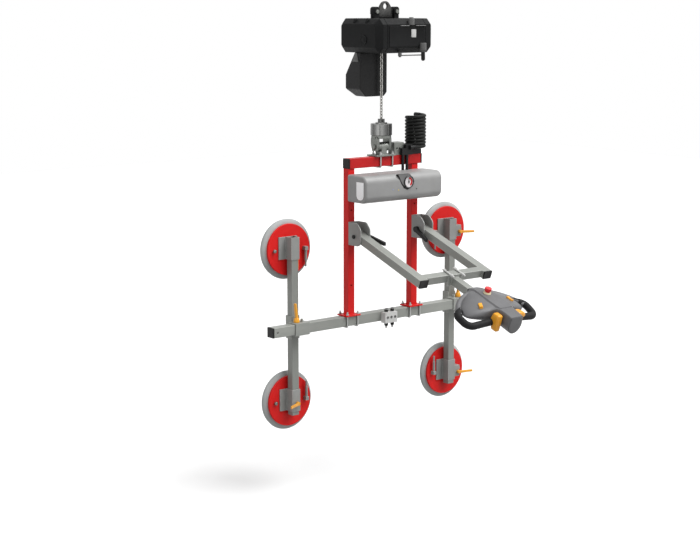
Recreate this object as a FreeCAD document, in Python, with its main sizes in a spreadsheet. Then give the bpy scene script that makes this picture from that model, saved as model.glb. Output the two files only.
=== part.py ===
import FreeCAD, Part
import math
import os
import re

import Sketcher
from FreeCAD import Placement, Rotation, Vector

sizes = {
    "overrun": "2",
    "slip_gap": "0.3",
    "run_gap": "0.05",
    "bolt_gap": "0.2",
    "hex_corner_share": "0.57735",
    # hoist, with its eye a little beside the chain
    "eye_x": "20",
    "hoist_left_reach": "150",
    "hoist_right": "209",
    "left_cover_deep": "55",
    "right_cover_deep": "60",
    "hoist_half_depth": "160",
    "hoist_tall": "167",
    "hoist_chamfer": "27",
    "hoist_wall": "6",
    "chain_slot_half": "16",
    "ear_wide": "28",
    "ear_thick": "10",
    "ear_tall": "47",
    "ear_offset": "64",
    "eye_hole": "30",
    "eye_thick": "14",
    "eye_rise": "59",
    "eye_foot_rise": "4",
    "eye_side_tall": "40",
    "eye_crown": "25",
    "eye_top_half": "14",
    "eye_bolt": "12",
    "eye_bolt_head": "20",
    "eye_bolt_head_long": "7",
    "wheel_rise": "7.6",
    "wheel_over_floor": "59",
    "wheel_gap": "0.5",
    "wheel_rim": "42",
    "wheel_half": "9",
    "wheel_shaft": "16",
    "wheel_shaft_stub": "30",
    "wheel_shaft_right": "58",
    "shaft_end_gap": "2",
    "motor_front": "34",
    "motor_nose": "72",
    "motor_body": "88",
    "motor_end_gap": "1",
    "motor_tail": "40",
    "box_left_reach": "120",
    "box_right": "54",
    "box_front": "20",
    "box_deep": "118",
    "box_tall": "218",
    "box_bevel": "38",
    "box_slope_tall": "110",
    "box_slope_in": "72",
    "box_wall": "4",
    # load chain and hook
    "link_wire": "5",
    "link_pitch": "15",
    "link_wide": "17",
    "link_play": "0.3",
    "link_count": "27",
    "pin_size": "6",
    "pin_rise": "12",
    "coupler_half_x": "13",
    "coupler_half_y": "12",
    "coupler_step": "6",
    "coupler_tall": "18",
    "coupler_slot_gap": "1",
    "coupler_floor": "2",
    "coupler_flange": "60",
    "swivel_size": "108",
    "swivel_tall": "57",
    "swivel_floor": "29",
    "swivel_cavity": "46",
    "groove_wide": "6",
    "groove_deep": "3",
    "groove_count": "8",
    "stem_size": "24",
    "stem_head": "40",
    "stem_head_tall": "12",
    "yoke_disc": "100",
    "yoke_thick": "16",
    "yoke_rise": "43",
    "leg_inner": "32",
    "leg_thick": "14",
    "leg_half": "27",
    "leg_waist_rise": "18",
    "leg_toe_half": "18",
    "leg_toe_drop": "20",
    "hook_pin": "16",
    "hook_pin_rise": "46",
    "hook_pin_head": "26",
    "hook_pin_head_long": "8",
    # hanger bracket and clamps
    "hub_size": "48",
    "hub_gap": "0.5",
    "web_half": "17",
    "plate_thick": "8",
    "plate_margin": "10",
    "hanger_left_reach": "62",
    "hanger_right": "128",
    "hanger_tongue": "64",
    "hanger_box_wide": "62",
    "hanger_box_tall": "64",
    "hanger_eye": "9",
    "hanger_eye_inset": "18",
    "hanger_eye_step": "17",
    "hanger_eye_rise": "34",
    "hanger_eye_deep": "12",
    "clamp_left_reach": "27",
    "clamp_right": "50",
    "clamp_rod": "8",
    "clamp_gap": "1",
    "clamp_bend": "8",
    "clamp_tail": "9",
    "nut_flats": "13",
    "nut_thick": "7",
    # block under the coil, leads and spiral cable
    "block_step": "2",
    "block_wide": "42",
    "block_front_reach": "42",
    "block_back": "28",
    "block_tall": "52",
    "block_toe_long": "71",
    "block_toe_half": "28",
    "block_toe_tall": "24",
    "block_nose_long": "26",
    "block_nose_gap": "0.5",
    "block_nose_tall": "34",
    "lead_size": "15",
    "lead_before": "15",
    "lead_after": "12",
    "cable_size": "14.5",
    "coil_lead": "55",
    "coil_radius": "46.5",
    "coil_rise": "36",
    "coil_pitch": "17",
    "coil_quarter_count": "37",
    "gland_size": "22",
    "gland_long": "22",
    "cable_tail": "20",
    "plug_size": "20",
    "plug_long": "38",
    # red frame
    "beam_side": "50",
    "beam_half": "695",
    "tube_wall": "4",
    "cap_thick": "8",
    "beam_hole": "8",
    "beam_hole_inset": "29",
    "bar_overhang": "24",
    "upright_tall": "733",
    "upright_side": "40",
    "upright_wall": "3",
    "upright_x": "207",
    "upright_hole": "8",
    "upright_hole_low": "180",
    "upright_hole_high": "560",
    "foot_clamp_gap": "13",
    "foot_margin": "12",
    # manifold
    "manifold_left_reach": "18",
    "manifold_wide": "80",
    "manifold_deep": "35",
    "manifold_high": "22",
    "manifold_tall": "55",
    "port_size": "9",
    "port_deep": "10",
    "port_step": "24",
    "port_drop": "26",
    "fitting_size": "16",
    "fitting_long": "15",
    "fitting_step": "20",
    "stub_size": "10",
    "stub_long": "14",
    # vacuum unit
    "unit_over_left": "6",
    "unit_over_right": "14",
    "unit_deep": "142",
    "unit_drop": "27",
    "unit_tall": "135",
    "unit_round": "26",
    "unit_shell": "12",
    "unit_lid": "4",
    "unit_lid_inset": "8",
    "gauge_x": "41",
    "gauge_drop": "42",
    "gauge_size": "62",
    "gauge_proud": "6",
    "gauge_sunk": "8",
    "gauge_rim": "4",
    "gauge_dial_deep": "6",
    "gauge_bore": "3",
    "gauge_bore_deep": "4",
    "needle_clear": "6",
    "needle_half": "1.6",
    "needle_tail": "7",
    "needle_thick": "1.5",
    "needle_hub": "8",
    "needle_lift": "1.5",
    "pump_half": "60",
    "pump_deep": "86",
    "pump_rise": "21",
    "pump_tall": "75",
    "pump_motor": "70",
    "pump_motor_front": "70",
    "pump_motor_rise": "58",
    "pump_motor_end": "200",
    # pivot brackets and arms
    "bracket_shift": "12",
    "cheek_thick": "6",
    "arm_side_gap": "1",
    "bracket_drop": "101",
    "bracket_tall": "115",
    "bracket_deep": "97",
    "bracket_shoulder_back": "29",
    "bracket_chin_back": "17",
    "bracket_brow_drop": "31",
    "bracket_jaw_rise": "20",
    "bracket_round": "26",
    "pivot_back": "50",
    "pivot_rise": "46",
    "arm_angle_deg": "19.6",
    "arm_wide": "50",
    "arm_high": "40",
    "arm_wall": "2",
    "arm_tail": "30",
    "arm_long": "515",
    "cross_inset": "15",
    "control_tube_top": "10",
    "control_tube_long": "114",
    "clamp_plate_half": "42",
    "clamp_plate_drop": "36",
    "clamp_plate_high": "24",
    "arm_screw": "12",
    "arm_screw_head": "20",
    "arm_screw_head_long": "8",
    "arm_lever_hub": "30",
    "arm_lever_hub_long": "18",
    "arm_lever_thick": "16",
    "arm_lever_root": "13",
    "arm_lever_tip": "9",
    "left_lever_reach": "148",
    "left_lever_drop": "26",
    "right_lever_reach": "84",
    "right_lever_drop": "48",
    # beam sleeves and columns
    "column_inset": "175.5",
    "column_side": "40",
    "column_half": "447",
    "sleeve_half": "42.5",
    "sleeve_gap": "0.5",
    "sleeve_wall": "5.5",
    "collar_wall": "6",
    "collar_half": "57.5",
    "boss_size": "24",
    "boss_tall": "7",
    "boss_x": "13.5",
    "sleeve_bolt": "13",
    "sleeve_bolt_x": "16",
    "sleeve_bolt_tall": "15",
    "lever_screw": "8",
    "lever_screw_long": "9",
    "slider_hub": "22",
    "slider_hub_tall": "16",
    "slider_reach": "72",
    "slider_lean": "10",
    "slider_root_half": "7",
    "slider_tip_half": "5",
    "slider_thick_half": "7",
    # suction pads
    "pad_inset": "65.5",
    "pad_standoff": "9",
    "pad_plate": "255",
    "pad_plate_thick": "12",
    "pad_web_thick": "8",
    "pad_rim": "12",
    "pad_bolt": "15",
    "pad_bolt_x": "91",
    "pad_bolt_long": "8",
    "seal_out": "22.5",
    "seal_neck_out": "15.5",
    "seal_root_in": "23.5",
    "seal_lip_in": "4",
    "seal_neck_step": "6",
    "seal_wide_step": "7",
    "seal_lip_long": "15",
    "seal_lip_wall": "5",
    "seal_web": "8",
    "holder_drop": "45",
    "holder_top": "66",
    "holder_gap": "0.5",
    "holder_wall": "4",
    "flange_outer": "65",
    "flange_inner": "45",
    "flange_thick": "6",
    "lug_out": "57",
    "lug_deep": "34",
    "lug_half": "30",
    "right_hub_x": "44.5",
    "left_hub_x": "5",
    "side_hub_back": "32",
    "hub_drop": "5",
    "pad_hub": "19",
    "pad_hub_long": "16",
    "pad_lever_reach": "95",
    "pad_lever_thick": "9",
    "pad_lever_root": "7",
    "pad_lever_tip": "6",
    "pad_lever_drop": "6",
    "front_lever_reach": "76",
    "front_lever_lean": "40",
    "pad_screw_long": "4",
    "valve_x": "92",
    "valve_half": "9",
    "valve_deep": "24",
    "valve_standoff": "14",
    "valve_pipe": "13",
    "valve_pipe_end": "62",
    "nipple_size": "9",
    "nipple_long": "30",
    # control unit, each step measured along the arms from the end of its tube
    "tail_top_half": "22",
    "tail_half": "28",
    "tail_base_half": "22",
    "tail_top": "14",
    "tail_deep": "34",
    "neck_step": "68",
    "neck_top_half": "58",
    "neck_half": "112",
    "neck_base_half": "58",
    "neck_top": "33",
    "neck_deep": "30",
    "lobe_step": "146",
    "lobe_top_half": "72",
    "lobe_half": "192",
    "lobe_base_half": "120",
    "lobe_top": "39",
    "lobe_deep": "32",
    "front_step": "204",
    "front_top_half": "62",
    "front_half": "146",
    "front_base_half": "96",
    "front_top": "39",
    "front_deep": "36",
    "nose_step": "236",
    "nose_top_half": "40",
    "nose_half": "46",
    "nose_base_half": "34",
    "nose_top": "38",
    "nose_deep": "46",
    "tip_step": "330",
    "tip_top_half": "38",
    "tip_half": "43",
    "tip_base_half": "26",
    "tip_top": "30",
    "tip_deep": "53",
    "flank_deep": "14",
    "flank_high": "4",
    "grip_size": "35",
    "grip_bend": "38",
    "grip_root_side": "120",
    "grip_root_step": "120",
    "grip_root_deep": "6",
    "grip_outer_side": "222",
    "grip_outer_step": "158",
    "grip_outer_deep": "20",
    "grip_lower_side": "215",
    "grip_lower_step": "250",
    "grip_lower_deep": "36",
    "grip_inner_side": "20",
    "grip_inner_step": "254",
    "grip_inner_deep": "18",
    "stop_step": "109",
    "stop_collar": "34",
    "stop_collar_tall": "8",
    "stop_collar_sunk": "9",
    "stop_stem": "20",
    "stop_well_deep": "10",
    "stop_stem_gap": "6",
    "stop_head": "33",
    "stop_head_gap": "6",
    "stop_head_tall": "16",
    "rocker_x": "100",
    "rocker_step": "178",
    "rocker_half_x": "8",
    "rocker_half": "17",
    "rocker_well": "8",
    "rocker_top": "33",
    "rocker_side": "20",
    "rocker_gap": "1.5",
    "trigger_gap": "3",
    "trigger_wide": "25",
    "trigger_step": "278",
    "trigger_thick": "13",
    "trigger_drop": "54",
    "trigger_high": "20",
    "trigger_hook_long": "22",
    "trigger_hook_low": "9",
    "trigger_pin": "8",
    "trigger_pin_inset": "6",
    "trigger_pin_rise": "13",
    "trigger_pin_end": "36",
}

# places and fits that follow from the sizes, seen from the middle of the cross beam
derived = {
    # levels from the cross beam up to the suspension eye
    "bar_low": "beam_side / 2 + plate_thick + upright_tall",
    "bar_top": "bar_low + beam_side",
    "hook_pin_z": "bar_top + hook_pin_rise",
    "leg_toe": "hook_pin_z - leg_toe_drop",
    "leg_waist": "hook_pin_z + leg_waist_rise",
    "yoke_low": "hook_pin_z + yoke_rise",
    "swivel_low": "yoke_low + yoke_thick",
    "swivel_ledge": "swivel_low + swivel_floor",
    "swivel_high": "swivel_low + swivel_tall",
    "stem_head_high": "swivel_ledge + stem_head_tall",
    "coupler_low": "swivel_high + coupler_step",
    "coupler_slot_low": "coupler_low + coupler_floor",
    "coupler_slot": "link_wire + coupler_slot_gap",
    "coupler_high": "coupler_low + coupler_tall",
    "pin_z": "coupler_low + pin_rise",
    "link_first_z": "pin_z - pin_size / 2 + link_pitch / 2 - link_play",
    "link_spacing": "link_pitch - link_play",
    "wheel_z": "link_first_z + (link_count - 1) * link_spacing + wheel_rise",
    "wheel_y": "wheel_rim / 2 + link_wide / 2 + wheel_gap",
    "hoist_low": "wheel_z - wheel_over_floor",
    "hoist_high": "hoist_low + hoist_tall",
    "ear_top": "hoist_high + ear_tall",
    "eye_z": "hoist_high + eye_rise",
    "eye_foot": "hoist_high + eye_foot_rise",
    "eye_foot_half": "ear_offset + ear_wide / 2",
    "eye_shoulder": "eye_foot + eye_side_tall",
    "eye_top": "eye_z + eye_crown",
    "eye_bolt_z": "ear_top - ear_wide / 2",
    # hoist and chain container
    "hoist_left": "-hoist_left_reach",
    "hoist_split_left": "hoist_left + left_cover_deep",
    "hoist_split_right": "hoist_right - right_cover_deep",
    "wheel_shaft_left": "-wheel_shaft_stub",
    "motor_shoulder": "hoist_right - hoist_chamfer - motor_end_gap",
    "motor_bore_end": "wheel_shaft_right + shaft_end_gap",
    "box_left": "-box_left_reach",
    "box_back": "box_front + box_deep",
    "box_low": "hoist_low - box_tall",
    "box_mouth_back": "box_back - box_slope_in - box_wall",
    # hanger bracket, clamps and coil
    "hub_half": "leg_inner - hub_gap",
    "hanger_left": "-hanger_left_reach",
    "hanger_middle": "hanger_right - hanger_tongue",
    "hanger_half_depth": "clamp_half + plate_margin",
    "hanger_box_left": "hanger_right - hanger_box_wide",
    "hanger_box_high": "bar_top + hanger_box_tall",
    "hanger_eye_left": "hanger_box_left + hanger_eye_inset",
    "hanger_eye_right": "hanger_eye_left + hanger_eye_step",
    "hanger_eye_z": "bar_top + hanger_eye_rise",
    "clamp_left": "-clamp_left_reach",
    "clamp_half": "beam_side / 2 + clamp_rod / 2 + clamp_gap",
    "clamp_hole": "clamp_rod + clamp_gap",
    "block_left": "hanger_right + block_step",
    "block_right": "block_left + block_wide",
    "block_front": "-block_front_reach",
    "block_high": "bar_top + block_tall",
    "block_toe_right": "block_right + block_toe_long",
    "block_toe_high": "bar_top + block_toe_tall",
    "block_nose_left": "block_left - block_nose_long",
    "block_nose_back": "-beam_side / 2 - block_nose_gap",
    "block_nose_high": "bar_top + block_nose_tall",
    "lead_left": "block_left - lead_before",
    "lead_right": "block_left + lead_after",
    "lead_y": "block_nose_back - lead_size / 2",
    "coil_x": "block_right + coil_lead",
    "coil_low": "bar_top + coil_rise",
    "gland_left": "block_right - gland_long",
    # red frame, manifold and vacuum unit
    "beam_hole_x": "-beam_half + beam_hole_inset",
    "bar_left": "-upright_x - upright_side / 2",
    "bar_right": "upright_x + upright_side / 2 + bar_overhang",
    "foot_clamp": "upright_side / 2 + foot_clamp_gap",
    "foot_half": "foot_clamp + foot_margin",
    "foot_half_depth": "clamp_half + plate_margin",
    "manifold_left": "-manifold_left_reach",
    "manifold_right": "manifold_left + manifold_wide",
    "manifold_low": "manifold_high - manifold_tall",
    "port_z": "manifold_high - port_drop",
    "unit_left": "bar_left - unit_over_left",
    "unit_right": "bar_right + unit_over_right",
    "unit_back": "-upright_side / 2 - unit_lid",
    "unit_front": "unit_back - unit_deep",
    "unit_high": "bar_low - unit_drop",
    "unit_low": "unit_high - unit_tall",
    "gauge_z": "unit_high - gauge_drop",
    "gauge_front": "unit_front - gauge_proud",
    "gauge_seat": "unit_front + gauge_sunk",
    "gauge_dial": "gauge_size - 2 * gauge_rim",
    "needle_long": "gauge_dial / 2 - needle_clear",
    "pump_low": "unit_low + pump_rise",
    "pump_high": "pump_low + pump_tall",
    "pump_motor_y": "-pump_motor_front",
    "pump_motor_z": "unit_low + pump_motor_rise",
    # pivot brackets and arms
    "bracket_left_x": "bracket_shift - upright_x",
    "bracket_right_x": "bracket_shift + upright_x",
    "bracket_gap_half": "arm_wide / 2 + arm_side_gap",
    "bracket_high": "unit_low - bracket_drop",
    "bracket_low": "bracket_high - bracket_tall",
    "bracket_front": "-upright_side / 2 - bracket_deep",
    "bracket_shoulder": "bracket_front + bracket_shoulder_back",
    "bracket_chin": "bracket_front + bracket_chin_back",
    "bracket_brow": "bracket_high - bracket_brow_drop",
    "bracket_jaw": "bracket_low + bracket_jaw_rise",
    "pivot_y": "bracket_front + pivot_back",
    "pivot_z": "bracket_low + pivot_rise",
    "cross_back": "arm_long - cross_inset - arm_high",
    "control_x": "bracket_shift",
    "control_tube_end": "arm_long - cross_inset + plate_thick + control_tube_long",
    "clamp_plate_low": "-clamp_plate_drop",
    # sleeves, columns and pads
    "column_x": "beam_half - column_inset",
    "column_front": "beam_side / 2 + sleeve_gap + sleeve_wall",
    "boss_high": "column_front + boss_tall",
    "sleeve_bolt_high": "column_front + sleeve_bolt_tall",
    "slider_hub_high": "boss_high + slider_hub_tall",
    "slider_top": "slider_hub_high + slider_reach",
    "pad_z": "column_half - pad_inset",
    "pad_front": "column_front + column_side + pad_standoff",
    "seal_root": "pad_plate - 2 * seal_root_in",
    "seal_neck": "pad_front + pad_plate_thick + seal_neck_step",
    "seal_neck_size": "pad_plate + 2 * seal_neck_out",
    "seal_wide_y": "seal_neck + seal_wide_step",
    "seal_size": "pad_plate + 2 * seal_out",
    "seal_lip_y": "seal_wide_y + seal_lip_long",
    "seal_lip": "seal_size - 2 * seal_lip_in",
    "holder_low": "-holder_drop",
    "hub_z": "-hub_drop",
    "side_hub_y": "column_front + side_hub_back",
    "valve_y": "pad_front - valve_standoff",
    "nipple_end": "valve_pipe_end + nipple_long",
    # control unit
    "tail_run": "control_tube_end",
    "tail_base": "-tail_deep",
    "neck_run": "control_tube_end + neck_step",
    "neck_base": "-neck_deep",
    "lobe_run": "control_tube_end + lobe_step",
    "lobe_base": "-lobe_deep",
    "front_run": "control_tube_end + front_step",
    "front_base": "-front_deep",
    "nose_run": "control_tube_end + nose_step",
    "nose_base": "-nose_deep",
    "tip_run": "control_tube_end + tip_step",
    "tip_base": "-tip_deep",
    "flank_low": "-flank_deep",
    "stop_run": "control_tube_end + stop_step",
    "stop_collar_top": "lobe_top + stop_collar_tall",
    "stop_collar_base": "lobe_top - stop_collar_sunk",
    "stop_well": "stop_collar_base - stop_well_deep",
    "stop_stem_base": "stop_well + stop_stem_gap",
    "stop_head_low": "stop_collar_top + stop_head_gap",
    "stop_head_high": "stop_head_low + stop_head_tall",
    "rocker_run": "control_tube_end + rocker_step",
    "trigger_inner": "nose_half + trigger_gap",
    "trigger_outer": "trigger_inner + trigger_wide",
    "trigger_back": "control_tube_end + trigger_step",
    "trigger_front": "trigger_back + trigger_thick",
    "trigger_low": "-trigger_drop",
    "trigger_hook": "trigger_back - trigger_hook_long",
    "trigger_pin_run": "trigger_back + trigger_pin_inset",
}

plane_roles = {"x": "YZ_Plane", "y": "XZ_Plane", "z": "XY_Plane"}
grip_stations = ("root", "outer", "lower", "inner")
centre_index = 3

doc = FreeCAD.newDocument("glass_panel_lifter")
sheet = doc.addObject("Spreadsheet::Sheet", "dim")
pieces = []
cuts = []


def fill_sheet():
    for row, (name, value) in enumerate(sizes.items(), 1):
        sheet.set(f"A{row}", name)
        sheet.set(f"B{row}", value)
        sheet.setAlias(f"B{row}", name)
    doc.recompute()


def spell_out(formula):
    def replace(found):
        name = found[0]
        if name in derived:
            return f"({spell_out(derived[name])})"
        return f"dim.{name}"

    return re.sub(r"[a-z]\w*", replace, formula)


def size(name):
    numbers = re.sub(r"dim\.(\w+)", lambda found: f"({sheet.get(found[1])})", spell_out(name))
    return FreeCAD.Units.Quantity(numbers).Value


def bind(item, path, formula):
    item.setExpression(path, spell_out(formula))


def seat(item, at, tilt):
    item.Placement = Placement(Vector(), Rotation(Vector(1, 0, 0), 1))
    bind(item, "Placement.Base.x", f"{at[0]} - eye_x")
    bind(item, "Placement.Base.y", at[1])
    bind(item, "Placement.Base.z", f"{at[2]} - eye_z")
    bind(item, "Placement.Rotation.Angle", tilt)


def new_body(label, at=("0", "0", "0"), tilt="0"):
    body = doc.addObject("PartDesign::Body", label)
    body.Label = label
    seat(body, at, tilt)
    pieces.append(body)
    return body


def new_shape(label, shape, at=("0", "0", "0"), tilt="0"):
    item = doc.addObject("Part::Feature", label)
    item.Label = label
    item.Shape = shape
    seat(item, at, tilt)
    pieces.append(item)


def rect(left, right, low, high):
    return [(left, low), (right, low), (right, high), (left, high)]


def hexagon(along, across, flats):
    corner = f"{flats} * hex_corner_share"
    return [
        (f"{along} + {corner}", across),
        (f"{along} + {corner} / 2", f"{across} + {flats} / 2"),
        (f"{along} - {corner} / 2", f"{across} + {flats} / 2"),
        (f"{along} - {corner}", across),
        (f"{along} - {corner} / 2", f"{across} - {flats} / 2"),
        (f"{along} + {corner} / 2", f"{across} - {flats} / 2"),
    ]


def span(side, near, far):
    if side > 0:
        return near, far
    return f"-({far})", f"-({near})"


def pin_point(sketch, curve, corner, along, across):
    for kind, formula, axis in (("DistanceX", along, -2), ("DistanceY", across, -1)):
        if formula == "0":
            sketch.addConstraint(Sketcher.Constraint("PointOnObject", curve, corner, axis))
        else:
            index = sketch.addConstraint(Sketcher.Constraint(kind, -1, 1, curve, corner, 1))
            bind(sketch, f"Constraints[{index}]", formula)


def add_circle(sketch, along, across, radius):
    curve = sketch.addGeometry(Part.Circle(Vector(1, 1, 0), Vector(0, 0, 1), 1))
    pin_point(sketch, curve, centre_index, along, across)
    index = sketch.addConstraint(Sketcher.Constraint("Radius", curve, 1))
    bind(sketch, f"Constraints[{index}]", radius)


def add_polygon(sketch, points):
    count = len(points)
    first = sketch.GeometryCount
    turns = [2 * math.pi * index / count for index in range(count)]
    guess = [Vector(math.cos(turn), math.sin(turn), 0) for turn in turns]
    for index in range(count):
        sketch.addGeometry(Part.LineSegment(guess[index], guess[(index + 1) % count]))
    for index in range(count):
        following = first + (index + 1) % count
        sketch.addConstraint(Sketcher.Constraint("Coincident", first + index, 2, following, 1))
    for index, (along, across) in enumerate(points):
        pin_point(sketch, first + index, 1, along, across)


def draw(body, axis, offset, shapes):
    sketch = body.newObject("Sketcher::SketchObject", f"{body.Label}_sketch")
    role = plane_roles[axis]
    plane = [item for item in body.Origin.OriginFeatures if item.Role == role][0]
    sketch.AttachmentSupport = [(plane, "")]
    sketch.MapMode = "FlatFace"
    for way, formula in zip("xyz", offset):
        bind(sketch, f"AttachmentOffset.Base.{way}", formula)
    for shape in shapes:
        if isinstance(shape, list):
            add_polygon(sketch, shape)
        else:
            add_circle(sketch, *shape)
    return sketch


def sweep_up(body, kind, axis, low, high, shapes):
    level = f"-({high})" if axis == "y" else low
    sketch = draw(body, axis, ("0", "0", level), shapes)
    feature = body.newObject(kind, f"{body.Label}_step")
    feature.Profile = sketch
    bind(feature, "Length", f"({high}) - ({low})")
    return feature


def prism(body, axis, low, high, *shapes):
    return sweep_up(body, "PartDesign::Pad", axis, low, high, shapes)


def cut(body, axis, low, high, *shapes):
    feature = sweep_up(body, "PartDesign::Pocket", axis, low, high, shapes)
    feature.Reversed = True
    cuts.append(feature)
    return feature


def turn(body, axis, centre, points):
    if axis == "x":
        sketch = draw(body, "y", ("0", centre[1], f"-({centre[0]})"), [points])
    elif axis == "y":
        sketch = draw(body, "x", ("0", centre[1], centre[0]), [points])
    else:
        flipped = [(radius, along) for along, radius in points]
        sketch = draw(body, "y", (centre[0], "0", f"-({centre[1]})"), [flipped])
    feature = body.newObject("PartDesign::Revolution", f"{body.Label}_turned")
    feature.Profile = sketch
    feature.ReferenceAxis = (sketch, ["V_Axis" if axis == "z" else "H_Axis"])
    feature.Angle = 360


def soften(body, kind, path, amount, test):
    doc.recompute()
    base = body.Tip
    names = [f"Edge{index + 1}" for index, edge in enumerate(base.Shape.Edges) if test(edge)]
    feature = body.newObject(kind, f"{body.Label}_softened")
    feature.Base = (base, names)
    bind(feature, path, amount)


def square_tube(body, axis, low, high, centre, side, wall):
    along, across = centre
    outer = f"{side} / 2"
    inner = f"({side} / 2 - {wall})"
    prism(
        body, axis, low, high,
        rect(f"{along} - {outer}", f"{along} + {outer}", f"{across} - {outer}", f"{across} + {outer}"),
        rect(f"{along} - {inner}", f"{along} + {inner}", f"{across} - {inner}", f"{across} + {inner}"),
    )


def eight_sided(inset):
    deep = f"(hoist_half_depth - {inset})"
    low = f"(hoist_low + {inset})"
    high = f"(hoist_high - {inset})"
    bevel = f"(hoist_chamfer - {inset} / 2)"
    return [
        (f"-{deep} + {bevel}", low),
        (f"{deep} - {bevel}", low),
        (deep, f"{low} + {bevel}"),
        (deep, f"{high} - {bevel}"),
        (f"{deep} - {bevel}", high),
        (f"-{deep} + {bevel}", high),
        (f"-{deep}", f"{high} - {bevel}"),
        (f"-{deep}", f"{low} + {bevel}"),
    ]


def make_hoist_housing():
    body = new_body("hoist_housing")
    prism(body, "x", "hoist_split_left", "hoist_split_right", eight_sided("0"), eight_sided("hoist_wall"))
    for side in (-1, 1):
        middle = f"eye_x + {side} * ear_offset"
        across = rect(f"{middle} - ear_wide / 2", f"{middle} + ear_wide / 2", "hoist_high", "eye_bolt_z")
        for face in (-1, 1):
            low, high = span(face, "eye_thick / 2 + slip_gap", "eye_thick / 2 + slip_gap + ear_thick")
            prism(body, "y", low, high, across)
            prism(body, "y", low, high, (middle, "eye_bolt_z", "ear_wide / 2"))
        reach = "eye_thick / 2 + slip_gap + ear_thick + overrun"
        cut(body, "y", f"-({reach})", reach, (middle, "eye_bolt_z", "eye_bolt / 2 + bolt_gap"))
    slot = rect("-chain_slot_half", "chain_slot_half", "-chain_slot_half", "box_mouth_back")
    cut(body, "z", "hoist_low - overrun", "hoist_low + hoist_wall + overrun", slot)


def make_hoist_covers():
    body = new_body("hoist_end_covers")
    prism(body, "x", "hoist_left", "hoist_split_left", eight_sided("0"))
    prism(body, "x", "hoist_split_right", "hoist_right", eight_sided("0"))
    ends = (size("hoist_left"), size("hoist_right"))

    def outer_edge(edge):
        box = edge.BoundBox
        return any(math.isclose(box.XMin, end) and math.isclose(box.XMax, end) for end in ends)

    soften(body, "PartDesign::Chamfer", "Size", "hoist_chamfer", outer_edge)
    cut(body, "x", "hoist_left + hoist_chamfer", "hoist_split_left", eight_sided("hoist_wall"))
    cut(body, "x", "hoist_split_right", "hoist_right - hoist_chamfer", eight_sided("hoist_wall"))
    tail = ("wheel_y", "wheel_z", "motor_tail / 2 + slip_gap")
    cut(body, "x", "hoist_split_right", "hoist_right - hoist_wall", tail)


def make_hoist_motor():
    body = new_body("hoist_motor")
    bore = "wheel_shaft / 2 + run_gap"
    turn(body, "x", ("wheel_y", "wheel_z"), [
        ("motor_front", bore),
        ("motor_front", "motor_nose / 2"),
        ("motor_front + hoist_wall", "motor_body / 2"),
        ("motor_shoulder", "motor_body / 2"),
        ("motor_shoulder", "motor_tail / 2"),
        ("hoist_right - hoist_wall", "motor_tail / 2"),
        ("hoist_right - hoist_wall", "0"),
        ("motor_bore_end", "0"),
        ("motor_bore_end", bore),
    ])


def make_load_wheel():
    body = new_body("load_wheel")
    turn(body, "x", ("wheel_y", "wheel_z"), [
        ("wheel_shaft_left", "0"),
        ("wheel_shaft_left", "wheel_shaft / 2"),
        ("-wheel_half", "wheel_shaft / 2"),
        ("-wheel_half", "wheel_rim / 2"),
        ("wheel_half", "wheel_rim / 2"),
        ("wheel_half", "wheel_shaft / 2"),
        ("wheel_shaft_right", "wheel_shaft / 2"),
        ("wheel_shaft_right", "0"),
    ])


def make_suspension_eye():
    body = new_body("suspension_eye")
    outline = [
        ("eye_x - eye_foot_half", "eye_foot"),
        ("eye_x + eye_foot_half", "eye_foot"),
        ("eye_x + eye_foot_half", "eye_shoulder"),
        ("eye_x + eye_top_half", "eye_top"),
        ("eye_x - eye_top_half", "eye_top"),
        ("eye_x - eye_foot_half", "eye_shoulder"),
    ]
    holes = [("eye_x", "eye_z", "eye_hole / 2")]
    for side in (-1, 1):
        holes.append((f"eye_x + {side} * ear_offset", "eye_bolt_z", "eye_bolt / 2 + bolt_gap"))
    prism(body, "y", "-eye_thick / 2", "eye_thick / 2", outline, *holes)


def make_suspension_bolts():
    body = new_body("suspension_bolts")
    reach = "(eye_thick / 2 + slip_gap + ear_thick)"
    for side in (-1, 1):
        turn(body, "y", (f"eye_x + {side} * ear_offset", "eye_bolt_z"), [
            (f"-{reach} - eye_bolt_head_long", "0"),
            (f"-{reach} - eye_bolt_head_long", "eye_bolt_head / 2"),
            (f"-{reach}", "eye_bolt_head / 2"),
            (f"-{reach}", "eye_bolt / 2"),
            (reach, "eye_bolt / 2"),
            (reach, "eye_bolt_head / 2"),
            (f"{reach} + eye_bolt_head_long", "eye_bolt_head / 2"),
            (f"{reach} + eye_bolt_head_long", "0"),
        ])


def make_chain_container():
    body = new_body("chain_container")
    outline = [
        ("box_left + box_bevel", "box_low"),
        ("box_right - box_bevel / 2", "box_low"),
        ("box_right", "box_low + box_bevel / 2"),
        ("box_right", "hoist_low"),
        ("box_left", "hoist_low"),
        ("box_left", "box_low + box_bevel"),
    ]
    prism(body, "y", "box_front", "box_back", outline)
    back = [
        ("box_back - box_bevel", "box_low - overrun"),
        ("box_back + overrun", "box_low - overrun"),
        ("box_back + overrun", "box_low + box_bevel"),
        ("box_back", "box_low + box_bevel"),
    ]
    cut(body, "x", "box_left - overrun", "box_right + overrun", back)
    slope = [
        ("box_back - box_slope_in", "hoist_low"),
        ("box_back", "hoist_low - box_slope_tall"),
        ("box_back + overrun", "hoist_low - box_slope_tall"),
        ("box_back + overrun", "hoist_low"),
    ]
    cut(body, "x", "box_left - overrun", "box_right + overrun", slope)
    floor = "box_low + box_bevel + box_wall"
    room = [
        ("box_front + box_wall", floor),
        ("box_back - box_wall", floor),
        ("box_back - box_wall", "hoist_low - box_slope_tall"),
        ("box_mouth_back", "hoist_low"),
        ("box_mouth_back", "hoist_low + overrun"),
        ("box_front + box_wall", "hoist_low + overrun"),
    ]
    cut(body, "x", "box_left + box_wall", "box_right - box_wall", room)


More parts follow.
